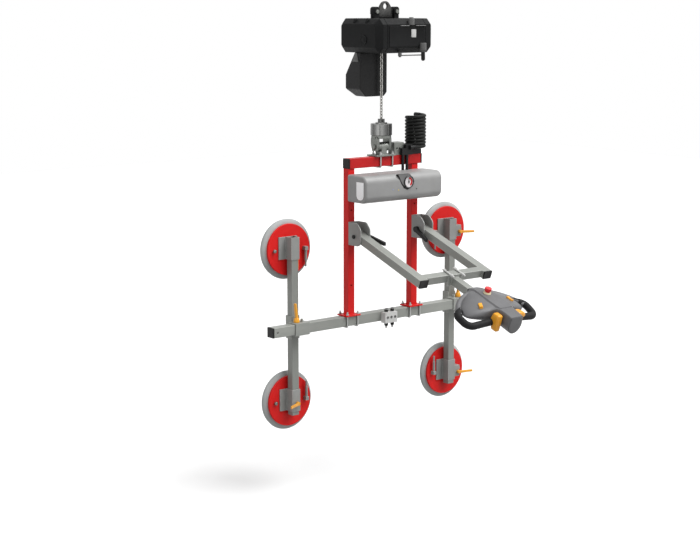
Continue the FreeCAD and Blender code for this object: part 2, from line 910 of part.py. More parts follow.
def smooth_path(points, bend):
    edges = []
    start = points[0]
    for before, corner, after in zip(points, points[1:], points[2:]):
        inward = (before - corner).normalize()
        outward = (after - corner).normalize()
        half_angle = inward.getAngle(outward) / 2
        setback = bend / math.tan(half_angle)
        first = corner + inward * setback
        last = corner + outward * setback
        bisector = (inward + outward).normalize()
        middle = corner + bisector * (bend / math.sin(half_angle) - bend)
        edges.append(Part.LineSegment(start, first).toShape())
        edges.append(Part.Arc(first, middle, last).toShape())
        start = last
    edges.append(Part.LineSegment(start, points[-1]).toShape())
    return Part.Wire(edges)


def tube_along(path, width, start, way):
    ring = Part.Wire([Part.makeCircle(width / 2, start, way)])
    shell = Part.BRepOffsetAPI.MakePipeShell(path)
    shell.add(ring)
    shell.build()
    shell.makeSolid()
    return shell.shape()


def make_link():
    radius = (size("link_wide") - size("link_wire")) / 2
    half = (size("link_pitch") + size("link_wire")) / 2 - radius
    places = [(radius, -half), (radius, half), (-radius, half), (-radius, -half)]
    corners = [Vector(across, 0, along) for across, along in places]
    top = Vector(0, 0, half + radius)
    path = Part.Wire([
        Part.LineSegment(corners[0], corners[1]).toShape(),
        Part.Arc(corners[1], top, corners[2]).toShape(),
        Part.LineSegment(corners[2], corners[3]).toShape(),
        Part.Arc(corners[3], -top, corners[0]).toShape(),
    ])
    return tube_along(path, size("link_wire"), corners[0], Vector(0, 0, 1))


def make_load_chain():
    link = make_link()
    links = []
    for index in range(int(size("link_count"))):
        copy = link.copy()
        angle = 90 if index % 2 == 0 else 0
        height = size("link_first_z") + index * size("link_spacing")
        copy.Placement = Placement(Vector(0, 0, height), Rotation(Vector(0, 0, 1), angle))
        links.append(copy)
    new_shape("load_chain", Part.Compound(links))


def make_swivel_housing():
    body = new_body("swivel_housing")
    bore = "stem_size / 2 + run_gap"
    turn(body, "z", ("0", "0"), [
        ("swivel_low", bore),
        ("swivel_low", "swivel_size / 2"),
        ("swivel_high", "swivel_size / 2"),
        ("swivel_high", "coupler_flange / 2"),
        ("coupler_low", "coupler_flange / 2"),
        ("coupler_low", "0"),
        ("swivel_high", "0"),
        ("swivel_high", "swivel_cavity / 2"),
        ("swivel_ledge", "swivel_cavity / 2"),
        ("swivel_ledge", bore),
    ])
    block = rect("-coupler_half_x", "coupler_half_x", "-coupler_half_y", "coupler_half_y")
    prism(body, "z", "coupler_low", "coupler_high", block)
    reach = "coupler_half_y + overrun"
    slot = rect("-coupler_slot / 2", "coupler_slot / 2", f"-({reach})", reach)
    cut(body, "z", "coupler_slot_low", "coupler_high + overrun", slot)
    prism(body, "x", "-coupler_slot / 2", "coupler_slot / 2", ("0", "pin_z", "pin_size / 2"))
    rim = "swivel_size / 2"
    groove = rect(f"{rim} - groove_deep", f"{rim} + overrun", "-groove_wide / 2", "groove_wide / 2")
    flute = cut(body, "z", "swivel_low", "swivel_high", groove)
    ring = body.newObject("PartDesign::PolarPattern", "swivel_flutes")
    ring.Originals = [flute]
    ring.Axis = (flute.Profile[0], ["N_Axis"])
    ring.Angle = 360
    ring.Occurrences = int(size("groove_count"))
    body.Tip = ring


def make_yoke():
    body = new_body("yoke")
    turn(body, "z", ("0", "0"), [
        ("yoke_low", "0"),
        ("yoke_low", "yoke_disc / 2"),
        ("swivel_low - slip_gap", "yoke_disc / 2"),
        ("swivel_low - slip_gap", "stem_size / 2"),
        ("swivel_ledge + slip_gap", "stem_size / 2"),
        ("swivel_ledge + slip_gap", "stem_head / 2"),
        ("stem_head_high", "stem_head / 2"),
        ("stem_head_high", "0"),
    ])
    outline = [
        ("-leg_half", "yoke_low"),
        ("-leg_half", "leg_waist"),
        ("-leg_toe_half", "leg_toe"),
        ("leg_toe_half", "leg_toe"),
        ("leg_half", "leg_waist"),
        ("leg_half", "yoke_low"),
    ]
    hole = ("0", "hook_pin_z", "hook_pin / 2 + bolt_gap")
    for side in (-1, 1):
        low, high = span(side, "leg_inner", "leg_inner + leg_thick")
        prism(body, "x", low, high, outline, hole)


def make_yoke_bolt():
    body = new_body("yoke_bolt")
    reach = "(leg_inner + leg_thick)"
    turn(body, "x", ("0", "hook_pin_z"), [
        (f"-{reach} - hook_pin_head_long", "0"),
        (f"-{reach} - hook_pin_head_long", "hook_pin_head / 2"),
        (f"-{reach}", "hook_pin_head / 2"),
        (f"-{reach}", "hook_pin / 2"),
        (reach, "hook_pin / 2"),
        (reach, "hook_pin_head / 2"),
        (f"{reach} + hook_pin_head_long", "hook_pin_head / 2"),
        (f"{reach} + hook_pin_head_long", "0"),
    ])


def make_hanger_bracket():
    body = new_body("hanger_bracket")
    deck = "bar_top + plate_thick"
    holes = []
    for middle in ("clamp_left", "clamp_right"):
        for side in ("clamp_half", "-clamp_half"):
            holes.append((middle, side, "clamp_hole / 2"))
    wide = rect("hanger_left", "hanger_middle", "-hanger_half_depth", "hanger_half_depth")
    prism(body, "z", "bar_top", deck, wide, *holes)
    narrow = rect("hanger_middle", "hanger_right", "-beam_side / 2", "beam_side / 2")
    prism(body, "z", "bar_top", deck, narrow)
    block = rect("hanger_box_left", "hanger_right", "-beam_side / 2", "beam_side / 2")
    prism(body, "z", deck, "hanger_box_high", block)
    web = rect("-hub_size / 2", "hub_size / 2", deck, "hook_pin_z")
    prism(body, "x", "-web_half", "web_half", web)
    prism(body, "x", "-hub_half", "hub_half", ("0", "hook_pin_z", "hub_size / 2"))
    reach = "hub_half + overrun"
    cut(body, "x", f"-({reach})", reach, ("0", "hook_pin_z", "hook_pin / 2 + run_gap"))
    eyes = [(middle, "hanger_eye_z", "hanger_eye / 2") for middle in ("hanger_eye_left", "hanger_eye_right")]
    cut(body, "y", "-beam_side / 2 - overrun", "-beam_side / 2 + hanger_eye_deep", *eyes)


def make_clamp(middle, low, deck):
    half = size("clamp_half")
    rod = size("clamp_rod")
    base = low - rod / 2
    top = deck + size("nut_thick") + size("clamp_tail")
    heights = [(-half, top), (-half, base), (half, base), (half, top)]
    points = [Vector(middle, across, height) for across, height in heights]
    clamp = tube_along(smooth_path(points, size("clamp_bend")), rod, points[0], Vector(0, 0, 1))
    corner = size("nut_flats") * size("hex_corner_share")
    for across in (-half, half):
        centre = Vector(middle, across, deck)
        turns = [math.radians(60 * index) for index in range(7)]
        ring = [centre + Vector(math.cos(angle), math.sin(angle), 0) * corner for angle in turns]
        nut = Part.Face(Part.makePolygon(ring)).extrude(Vector(0, 0, size("nut_thick")))
        clamp = clamp.fuse(nut)
    return clamp


def make_clamps():
    plate = size("plate_thick")
    half_beam = size("beam_side") / 2
    deck = size("bar_top") + plate
    clamps = [make_clamp(size(middle), size("bar_low"), deck) for middle in ("clamp_left", "clamp_right")]
    for side in (-1, 1):
        for offset in (-size("foot_clamp"), size("foot_clamp")):
            middle = side * size("upright_x") + offset
            clamps.append(make_clamp(middle, -half_beam, half_beam + plate))
    new_shape("clamp_u_bolts", Part.Compound(clamps))


def make_coil_holder():
    body = new_body("coil_holder")
    prism(body, "z", "bar_top", "block_high", rect("block_left", "block_right", "block_front", "block_back"))
    toe = rect("block_right", "block_toe_right", "-block_toe_half", "block_toe_half")
    prism(body, "z", "bar_top", "block_toe_high", toe)
    nose = rect("block_nose_left", "block_left", "block_front", "block_nose_back")
    prism(body, "z", "bar_top", "block_nose_high", nose)
    prism(body, "x", "gland_left", "block_right", ("-coil_radius", "coil_low", "gland_size / 2"))
    for middle in ("lead_left", "lead_right"):
        prism(body, "z", "unit_high", "bar_top", (middle, "lead_y", "lead_size / 2"))


def arc_between(first, way, last):
    chord = last - first
    along = Vector(chord).normalize()
    rise = way - along * way.dot(along)
    middle = (first + last) * 0.5
    if rise.Length > 0:
        middle += Vector(rise).normalize() * (chord.Length / 2 * math.tan(way.getAngle(along) / 2))
    return Part.Arc(first, middle, last).toShape()


def biarc(first, first_way, last, last_way):
    chord = last - first
    bend = 2 * (1 - first_way.dot(last_way))
    reach = chord.dot(first_way + last_way)
    handle = (math.sqrt(reach * reach + bend * chord.dot(chord)) - reach) / bend
    joint = (first + last + (first_way - last_way) * handle) * 0.5
    joint_way = (last - last_way * handle - first - first_way * handle).normalize()
    return [arc_between(first, first_way, joint), arc_between(joint, joint_way, last)]


def coil_station(quarter, quarters):
    angle = math.pi / 2 * (quarter - 1)
    radius = size("coil_radius")
    height = size("coil_low") + size("coil_pitch") * quarter / 4
    point = Vector(size("coil_x") + radius * math.cos(angle), radius * math.sin(angle), height)
    climb = size("coil_pitch") / (2 * math.pi * radius)
    if quarter in (0, quarters):
        climb = 0
    way = Vector(-math.sin(angle), math.cos(angle), climb).normalize()
    return point, way


def coil_gap(path):
    points = path.discretize(Distance=size("cable_size") / 4)
    lengths = [0.0]
    for before, after in zip(points, points[1:]):
        lengths.append(lengths[-1] + before.distanceToPoint(after))
    apart = math.pi * size("coil_radius")
    nearest = min(
        point.distanceToPoint(other)
        for index, point in enumerate(points)
        for place, other in enumerate(points[:index])
        if lengths[index] - lengths[place] > apart
    )
    return nearest - size("cable_size"), lengths[-1]


def make_spiral_cable():
    quarters = int(size("coil_quarter_count"))
    stations = [coil_station(quarter, quarters) for quarter in range(quarters + 1)]
    foot = Vector(size("block_right"), stations[0][0].y, stations[0][0].z)
    end = stations[-1][0] + stations[-1][1] * size("cable_tail")
    edges = [Part.LineSegment(foot, stations[0][0]).toShape()]
    for before, after in zip(stations, stations[1:]):
        edges += biarc(before[0], before[1], after[0], after[1])
    edges.append(Part.LineSegment(stations[-1][0], end).toShape())
    path = Part.Wire(edges)
    gap, length = coil_gap(path)
    print(f"spiral cable: gap between turns {gap:.2f} mm, length {length:.0f} mm")
    new_shape("spiral_cable", tube_along(path, size("cable_size"), foot, Vector(1, 0, 0)))


def make_cable_plug():
    body = new_body("cable_plug")
    height = "coil_low + coil_pitch * coil_quarter_count / 4"
    barrel = ("coil_x + coil_radius", height, "plug_size / 2")
    start = "cable_tail + slip_gap"
    prism(body, "y", start, f"{start} + plug_long", barrel)


def make_top_bar():
    body = new_body("top_bar")
    middle = ("0", "bar_low + beam_side / 2")
    square_tube(body, "x", "bar_left + cap_thick", "bar_right - cap_thick", middle, "beam_side", "tube_wall")


def make_upright(label, side):
    body = new_body(label, (f"{side} * upright_x", "0", "0"))
    foot = "beam_side / 2"
    deck = f"{foot} + plate_thick"
    square_tube(body, "z", deck, "bar_low", ("0", "0"), "upright_side", "upright_wall")
    holes = []
    for along in ("foot_clamp", "-foot_clamp"):
        for across in ("clamp_half", "-clamp_half"):
            holes.append((along, across, "clamp_hole / 2"))
    plate = rect("-foot_half", "foot_half", "-foot_half_depth", "foot_half_depth")
    prism(body, "z", foot, deck, plate, *holes)
    eyes = [("0", level, "upright_hole / 2") for level in ("upright_hole_low", "upright_hole_high")]
    front = "-upright_side / 2"
    cut(body, "y", f"{front} - overrun", f"{front} + upright_wall + overrun", *eyes)


def make_end_caps():
    body = new_body("tube_end_caps")
    half = "beam_side / 2"
    beam = rect(f"-{half}", half, f"-{half}", half)
    bar = rect(f"-{half}", half, "bar_low", "bar_low + beam_side")
    prism(body, "x", "-beam_half", "-beam_half + cap_thick", beam)
    prism(body, "x", "beam_half - cap_thick", "beam_half", beam)
    prism(body, "x", "bar_left", "bar_left + cap_thick", bar)
    prism(body, "x", "bar_right - cap_thick", "bar_right", bar)


def make_cross_beam():
    body = new_body("cross_beam")
    end = "(beam_half - cap_thick)"
    square_tube(body, "x", f"-{end}", end, ("0", "0"), "beam_side", "tube_wall")
    front = "-beam_side / 2"
    hole = ("beam_hole_x", "0", "beam_hole / 2")
    cut(body, "y", f"{front} - overrun", f"{front} + tube_wall + overrun", hole)


def make_manifold():
    body = new_body("manifold_block")
    back = "-beam_side / 2"
    front = f"{back} - manifold_deep"
    prism(body, "y", front, back, rect("manifold_left", "manifold_right", "manifold_low", "manifold_high"))
    middle = "(manifold_left + manifold_right) / 2"
    ports = [(f"{middle} + {step} * port_step", "port_z", "port_size / 2") for step in (-1, 0, 1)]
    cut(body, "y", f"{front} - overrun", f"{front} + port_deep", *ports)
    level = f"{back} - manifold_deep / 2"
    for side in (-1, 1):
        at = f"{middle} + {side} * fitting_step"
        collar = (at, level, "fitting_size / 2")
        stub = (at, level, "stub_size / 2")
        prism(body, "z", "manifold_high", "manifold_high + fitting_long", collar)
        prism(body, "z", "manifold_low - fitting_long", "manifold_low", collar)
        prism(body, "z", "manifold_low - fitting_long - stub_long", "manifold_low - fitting_long", stub)


def make_unit_cover():
    body = new_body("unit_cover")
    prism(body, "y", "unit_front", "unit_back", rect("unit_left", "unit_right", "unit_low", "unit_high"))
    middle = (size("unit_front") + size("unit_back")) / 2

    def not_at_back(edge):
        return edge.BoundBox.YMin < middle

    soften(body, "PartDesign::Fillet", "Radius", "unit_round", not_at_back)
    room = rect(
        "unit_left + unit_shell", "unit_right - unit_shell",
        "unit_low + unit_shell", "unit_high - unit_shell",
    )
    cut(body, "y", "unit_front + unit_shell", "unit_back", room)
    dial = ("gauge_x", "gauge_z", "gauge_size / 2 + bolt_gap")
    cut(body, "y", "unit_front - overrun", "gauge_seat", dial)


def make_unit_back_plate():
    body = new_body("unit_back_plate")
    outline = rect(
        "unit_left + unit_lid_inset", "unit_right - unit_lid_inset",
        "unit_low + unit_lid_inset", "unit_high - unit_lid_inset",
    )
    prism(body, "y", "unit_back", "-upright_side / 2", outline)


def make_vacuum_pump():
    body = new_body("vacuum_pump")
    block = rect("-pump_half", "pump_half", "pump_low", "pump_high")
    prism(body, "y", "unit_back - pump_deep", "unit_back", block)
    prism(body, "x", "pump_half", "pump_motor_end", ("pump_motor_y", "pump_motor_z", "pump_motor / 2"))


def make_gauge_case():
    body = new_body("gauge_case")
    face = "gauge_front + gauge_dial_deep"
    prism(body, "y", "gauge_front", "gauge_seat", ("gauge_x", "gauge_z", "gauge_size / 2"))
    cut(body, "y", "gauge_front - overrun", face, ("gauge_x", "gauge_z", "gauge_dial / 2"))
    cut(body, "y", face, f"{face} + gauge_bore_deep", ("gauge_x", "gauge_z", "gauge_bore / 2 + run_gap"))


def make_gauge_needle():
    body = new_body("gauge_needle", ("gauge_x", "0", "gauge_z"))
    face = "gauge_front + gauge_dial_deep"
    back = f"{face} - needle_lift"
    front = f"{back} - needle_thick"
    blade = [
        ("-needle_half", "-needle_tail"),
        ("needle_half", "-needle_tail"),
        ("needle_half / 2", "needle_long"),
        ("-needle_half / 2", "needle_long"),
    ]
    prism(body, "y", front, back, blade)
    prism(body, "y", front, back, ("0", "0", "needle_hub / 2"))
    prism(body, "y", back, f"{face} + gauge_bore_deep - slip_gap", ("0", "0", "gauge_bore / 2"))


def make_pivot_brackets():
    body = new_body("pivot_brackets")
    back = "-upright_side / 2"
    cheek = [
        (back, "bracket_low"),
        (back, "bracket_high"),
        ("bracket_shoulder", "bracket_high"),
        ("bracket_front", "bracket_brow"),
        ("bracket_front", "bracket_jaw"),
        ("bracket_chin", "bracket_low"),
    ]
    hole = ("pivot_y", "pivot_z", "arm_screw / 2 + run_gap")
    for middle in ("bracket_left_x", "bracket_right_x"):
        left = f"{middle} - bracket_gap_half"
        right = f"{middle} + bracket_gap_half"
        prism(body, "y", f"{back} - cheek_thick", back, rect(left, right, "bracket_low", "bracket_high"))
        for side in (-1, 1):
            low, high = span(side, "bracket_gap_half", "bracket_gap_half + cheek_thick")
            prism(body, "x", f"{middle} + {low}", f"{middle} + {high}", cheek, hole)
    shoulder = size("bracket_shoulder")

    def front_corner(edge):
        box = edge.BoundBox
        across = math.isclose(box.XLength, size("cheek_thick"))
        return across and box.YLength < box.XLength / 2 and box.YMax < shoulder + box.XLength / 2

    soften(body, "PartDesign::Fillet", "Radius", "bracket_round", front_corner)


def make_arm_frame():
    body = new_body("arm_frame", ("0", "pivot_y", "pivot_z"), "arm_angle_deg")
    half = "arm_high / 2"
    hole = ("0", "0", "arm_screw / 2 + run_gap")
    for middle in ("bracket_left_x", "bracket_right_x"):
        low = f"{middle} - arm_wide / 2"
        high = f"{middle} + arm_wide / 2"
        outer = rect(low, high, f"-{half}", half)
        inner = rect(f"{low} + arm_wall", f"{high} - arm_wall", f"-{half} + arm_wall", f"{half} - arm_wall")
        prism(body, "y", "-arm_long", "arm_tail", outer, inner)
    cut(body, "x", "bracket_left_x - arm_wide", "bracket_right_x + arm_wide", hole)
    left = "bracket_left_x + arm_wide / 2"
    right = "bracket_right_x - arm_wide / 2"
    front = "-cross_back - arm_high"
    outer = rect(front, "-cross_back", f"-{half}", half)
    inner = rect(f"{front} + arm_wall", "-cross_back - arm_wall", f"-{half} + arm_wall", f"{half} - arm_wall")
    prism(body, "x", left, right, outer, inner)
    left = "control_x - clamp_plate_half"
    right = "control_x + clamp_plate_half"
    wide = rect(left, right, "clamp_plate_low", "clamp_plate_high")
    prism(body, "y", f"{front} - plate_thick", front, wide)
    centre = ("control_x", f"control_tube_top - {half}")
    square_tube(body, "y", "-control_tube_end", f"{front} - plate_thick", centre, "arm_high", "arm_wall")


def make_arm_lever(label, middle, side, reach, drop):
    body = new_body(label, (middle, "pivot_y", "pivot_z"))
    face = "(bracket_gap_half + cheek_thick + slip_gap)"
    turn(body, "x", ("0", "0"), [
        (f"-{side} * ({face} + arm_screw_head_long)", "0"),
        (f"-{side} * ({face} + arm_screw_head_long)", "arm_screw_head / 2"),
        (f"-{side} * {face}", "arm_screw_head / 2"),
        (f"-{side} * {face}", "arm_screw / 2"),
        (f"{side} * {face}", "arm_screw / 2"),
        (f"{side} * {face}", "arm_lever_hub / 2"),
        (f"{side} * ({face} + arm_lever_hub_long)", "arm_lever_hub / 2"),
        (f"{side} * ({face} + arm_lever_hub_long)", "0"),
    ])
    outline = [
        ("0", "-arm_lever_root"),
        ("0", "arm_lever_root"),
        (f"-{reach}", f"-{drop} + arm_lever_tip"),
        (f"-{reach}", f"-{drop} - arm_lever_tip"),
    ]
    end = f"{face} + arm_lever_hub_long"
    low, high = span(side, f"{end} - arm_lever_thick", end)
    prism(body, "x", low, high, outline)


def make_sleeve(label, side):
    body = new_body(label, (f"{side} * column_x", "0", "0"))
    inner = "(beam_side / 2 + sleeve_gap)"
    outer = f"({inner} + sleeve_wall)"
    prism(
        body, "x", "-sleeve_half", "sleeve_half",
        rect(f"-{outer}", outer, f"-{outer}", outer),
        rect(f"-{inner}", inner, f"-{inner}", inner),
    )
    half = "column_side / 2"
    back = "column_front + column_side"
    prism(
        body, "z", "-collar_half", "collar_half",
        rect(f"-{half} - collar_wall", f"{half} + collar_wall", "column_front", f"{back} + collar_wall"),
    )
    room = rect(f"-{half}", half, "column_front", back)
    cut(body, "z", "-collar_half - overrun", "collar_half + overrun", room)
    prism(body, "z", outer, "boss_high", (f"{side} * boss_x", "0", "boss_size / 2"))
    prism(body, "z", outer, "sleeve_bolt_high", hexagon(f"-{side} * sleeve_bolt_x", "0", "sleeve_bolt"))
    depth = "boss_high - lever_screw_long - slip_gap"
    cut(body, "z", depth, "boss_high + overrun", (f"{side} * boss_x", "0", "lever_screw / 2 + run_gap"))


def make_slider_lever(label, side):
    body = new_body(label, (f"{side} * (column_x + boss_x)", "0", "0"))
    base = "boss_high + slip_gap"
    prism(body, "z", base, "slider_hub_high", ("0", "0", "slider_hub / 2"))
    prism(body, "z", "boss_high - lever_screw_long", base, ("0", "0", "lever_screw / 2"))
    outline = [
        ("-slider_root_half", base),
        ("slider_root_half", base),
        (f"{side} * slider_lean + slider_tip_half", "slider_top"),
        (f"{side} * slider_lean - slider_tip_half", "slider_top"),
    ]
    prism(body, "y", "-slider_thick_half", "slider_thick_half", outline)


def make_column(label, side):
    body = new_body(label, (f"{side} * column_x", "0", "0"))
    centre = ("0", "column_front + column_side / 2")
    square_tube(body, "z", "-column_half", "column_half", centre, "column_side", "upright_wall")


def pad_centre(side, level):
    return f"{side} * column_x", "0", f"{level} * pad_z"


def make_pad_holder(label, side, level):
    body = new_body(label, pad_centre(side, level))
    half = "(column_side / 2 + holder_gap)"
    front = "column_front - holder_gap"
    back = "column_front + column_side + holder_gap"
    seat_plane = "pad_front - flange_thick"
    prism(
        body, "z", "holder_low", "holder_top",
        rect(f"-{half} - holder_wall", f"{half} + holder_wall", f"{front} - holder_wall", seat_plane),
        rect(f"-{half}", half, front, back),
    )
    flange = rect("-flange_outer", "flange_inner", "holder_low", "holder_top")
    prism(body, "y", seat_plane, "pad_front", flange)
    face = f"{front} - holder_wall"
    if side > 0:
        lug = rect(f"{half} + holder_wall", "lug_out", "-lug_half", "lug_half")
        prism(body, "y", face, f"{face} + lug_deep", lug)
    hole = "lever_screw / 2 + run_gap"
    if side < 0 < level:
        wall = f"{half} + holder_wall"
        screw = ("side_hub_y", "hub_z", hole)
        cut(body, "x", f"{wall} - pad_screw_long - slip_gap", f"{wall} + overrun", screw)
    else:
        screw = ("right_hub_x" if side > 0 else "left_hub_x", "hub_z", hole)
        cut(body, "y", f"{face} - overrun", f"{face} + pad_screw_long + slip_gap", screw)
    inner = f"{-side} * valve_x"
    block = rect(f"{inner} - valve_half", f"{inner} + valve_half", "-valve_half", "valve_half")
    prism(body, "y", "pad_front - valve_deep", "pad_front", block)
    low, high = span(-level, "valve_half", "valve_pipe_end")
    prism(body, "z", low, high, (inner, "valve_y", "valve_pipe / 2"))
    low, high = span(-level, "valve_pipe_end", "nipple_end")
    prism(body, "z", low, high, (inner, "valve_y", "nipple_size / 2"))


def make_pad_plate(label, side, level):
    body = new_body(label, pad_centre(side, level))
    edge = "pad_plate / 2"
    turn(body, "y", ("0", "0"), [
        ("pad_front", "0"),
        ("pad_front", edge),
        ("pad_front + pad_plate_thick", edge),
        ("pad_front + pad_plate_thick", f"{edge} - pad_rim"),
        ("pad_front + pad_web_thick", f"{edge} - 2 * pad_rim"),
        ("pad_front + pad_web_thick", "0"),
    ])
    prism(body, "y", "pad_front - pad_bolt_long", "pad_front", (f"{side} * pad_bolt_x", "0", "pad_bolt / 2"))


def make_pad_seal(label, side, level):
    body = new_body(label, pad_centre(side, level))
    seat_plane = "pad_front + pad_plate_thick"
    turn(body, "y", ("0", "0"), [
        (seat_plane, "seal_root / 2"),
        (seat_plane, "pad_plate / 2"),
        ("seal_neck", "seal_neck_size / 2"),
        ("seal_wide_y", "seal_size / 2"),
        ("seal_lip_y", "seal_lip / 2"),
        ("seal_lip_y", "seal_lip / 2 - seal_lip_wall"),
        ("seal_wide_y", "seal_lip / 2 - seal_lip_wall"),
        (f"{seat_plane} + seal_web", "pad_plate / 2"),
        (f"{seat_plane} + seal_web", "seal_root / 2"),
    ])


def make_pad_lever(label, side, level):
    hub = "right_hub_x" if side > 0 else "left_hub_x"
    body = new_body(label, (f"{side} * column_x + {hub}", "0", f"{level} * pad_z + hub_z"))
    face = "column_front - holder_gap - holder_wall"
    base = f"{face} - slip_gap"
    front = f"{base} - pad_hub_long"
    prism(body, "y", front, base, ("0", "0", "pad_hub / 2"))
    prism(body, "y", base, f"{face} + pad_screw_long", ("0", "0", "lever_screw / 2"))
    if side > 0:
        prism(body, "y", front, f"{front} + pad_lever_thick", [
            ("0", "-pad_lever_root"),
            ("0", "pad_lever_root"),
            ("pad_lever_reach", "-pad_lever_drop + pad_lever_tip"),
            ("pad_lever_reach", "-pad_lever_drop - pad_lever_tip"),
        ])
    else:
        tip = f"{front} - front_lever_lean"
        prism(body, "z", "-pad_lever_root", "pad_lever_root", [
            ("0", front),
            ("0", f"{front} + pad_lever_thick"),
            ("-front_lever_reach", f"{tip} + pad_lever_thick"),
            ("-front_lever_reach", tip),
        ])


def make_side_lever(label, side, level):
    wall = "column_side / 2 + holder_gap + holder_wall"
    body = new_body(label, (f"{side} * column_x + {wall}", "side_hub_y", f"{level} * pad_z + hub_z"))
    end = "slip_gap + pad_hub_long"
    prism(body, "x", "slip_gap", end, ("0", "0", "pad_hub / 2"))
    prism(body, "x", "-pad_screw_long", "slip_gap", ("0", "0", "lever_screw / 2"))
    prism(body, "x", f"{end} - pad_lever_thick", end, [
        ("-pad_lever_root", "0"),
        ("pad_lever_root", "0"),
        ("pad_lever_tip", "-pad_lever_reach"),
        ("-pad_lever_tip", "-pad_lever_reach"),
    ])


def shell_section(station):
    points = [
        (f"{station}_base_half", f"{station}_base"),
        (f"{station}_half", "flank_low"),
        (f"{station}_half", "flank_high"),
        (f"{station}_top_half", f"{station}_top"),
    ]
    right = [(f"control_x + {across}", height) for across, height in points]
    left = [(f"control_x - {across}", height) for across, height in reversed(points)]
    return right + left


def make_control_shell():
    body = new_body("control_shell", ("0", "pivot_y", "pivot_z"), "arm_angle_deg")
    stations = ("tail", "neck", "lobe", "front", "nose", "tip")
    sections = []
    for station in stations:
        sections.append(draw(body, "y", ("0", "0", f"{station}_run"), [shell_section(station)]))
    loft = body.newObject("PartDesign::AdditiveLoft", "control_shell_loft")
    loft.Profile = sections[0]
    loft.Sections = sections[1:]
    loft.Ruled = True
    prism(body, "z", "stop_collar_base", "stop_collar_top", ("control_x", "-stop_run", "stop_collar / 2"))
    well = ("control_x", "-stop_run", "stop_stem / 2 + run_gap")
    cut(body, "z", "stop_well", "stop_collar_top + overrun", well)
    for side in (-1, 1):
        middle = f"control_x + {side} * rocker_x"
        across = "(rocker_half_x + rocker_gap)"
        along = "(rocker_half + rocker_gap)"
        near = f"-rocker_run + {along}"
        far = f"-rocker_run - {along}"
        well = rect(f"{middle} - {across}", f"{middle} + {across}", far, near)
        cut(body, "z", "rocker_well", "stop_collar_top", well)
        low, high = span(side, "trigger_pin_end - slip_gap", "trigger_inner")
        bore = ("-trigger_pin_run", "trigger_pin_rise", "trigger_pin / 2 + run_gap")
        cut(body, "x", f"control_x + {low}", f"control_x + {high}", bore)
    return body


def make_control_grips(shell):
    tubes = []
    for side in (-1, 1):
        points = []
        for station in grip_stations:
            across = size("control_x") + side * size(f"grip_{station}_side")
            run = size("control_tube_end") + size(f"grip_{station}_step")
            points.append(Vector(across, -run, -size(f"grip_{station}_deep")))
        path = smooth_path(points, size("grip_bend"))
        way = (points[1] - points[0]).normalize()
        tubes.append(tube_along(path, size("grip_size"), points[0], way))
    doc.recompute()
    solid = shell.Tip.Shape
    shapes = [tube.cut(solid) for tube in tubes]
    kept = [max(shape.Solids, key=lambda part: part.Volume) for shape in shapes]
    new_shape("control_grips", Part.Compound(kept), ("0", "pivot_y", "pivot_z"), "arm_angle_deg")


def make_trigger(label, side):
    body = new_body(label, ("0", "pivot_y", "pivot_z"), "arm_angle_deg")
    low, high = span(side, "trigger_inner", "trigger_outer")
    outline = [
        ("-trigger_front", "trigger_low"),
        ("-trigger_back", "trigger_low"),
        ("-trigger_back", "trigger_hook_low"),
        ("-trigger_hook", "trigger_hook_low"),
        ("-trigger_hook", "trigger_high"),
        ("-trigger_front", "trigger_high"),
    ]
    prism(body, "x", f"control_x + {low}", f"control_x + {high}", outline)
    low, high = span(side, "trigger_pin_end", "trigger_inner")
    pin = ("-trigger_pin_run", "trigger_pin_rise", "trigger_pin / 2")
    prism(body, "x", f"control_x + {low}", f"control_x + {high}", pin)


def make_rocker(label, side):
    body = new_body(label, ("0", "pivot_y", "pivot_z"), "arm_angle_deg")
    middle = f"control_x + {side} * rocker_x"
    outline = [
        ("-rocker_run", "rocker_well + slip_gap"),
        ("-rocker_run + rocker_half", "rocker_side"),
        ("-rocker_run + rocker_half", "rocker_top"),
        ("-rocker_run - rocker_half", "rocker_top"),
        ("-rocker_run - rocker_half", "rocker_side"),
    ]
    prism(body, "x", f"{middle} - rocker_half_x", f"{middle} + rocker_half_x", outline)


def make_stop_button():
    body = new_body("estop_button", ("0", "pivot_y", "pivot_z"), "arm_angle_deg")
    turn(body, "z", ("control_x", "-stop_run"), [
        ("stop_stem_base", "0"),
        ("stop_stem_base", "stop_stem / 2"),
        ("stop_head_low", "stop_stem / 2"),
        ("stop_head_low", "stop_head / 2"),
        ("stop_head_high", "stop_head / 2"),
        ("stop_head_high", "0"),
    ])


def make_sliders():
    for name, side in (("left", -1), ("right", 1)):
        make_sleeve(f"{name}_sleeve", side)
        make_column(f"{name}_column", side)
        make_slider_lever(f"{name}_slider_lever", side)
        for height, level in (("upper", 1), ("lower", -1)):
            make_pad_holder(f"{height}_{name}_pad_holder", side, level)
            make_pad_plate(f"{height}_{name}_pad_plate", side, level)
            make_pad_seal(f"{height}_{name}_pad_seal", side, level)
            make_lever = make_side_lever if side < 0 < level else make_pad_lever
            make_lever(f"{height}_{name}_pad_lever", side, level)


def make_controls():
    shell = make_control_shell()
    make_control_grips(shell)
    for name, side in (("left", -1), ("right", 1)):
        make_trigger(f"{name}_trigger", side)
        make_rocker(f"{name}_rocker", side)
    make_stop_button()


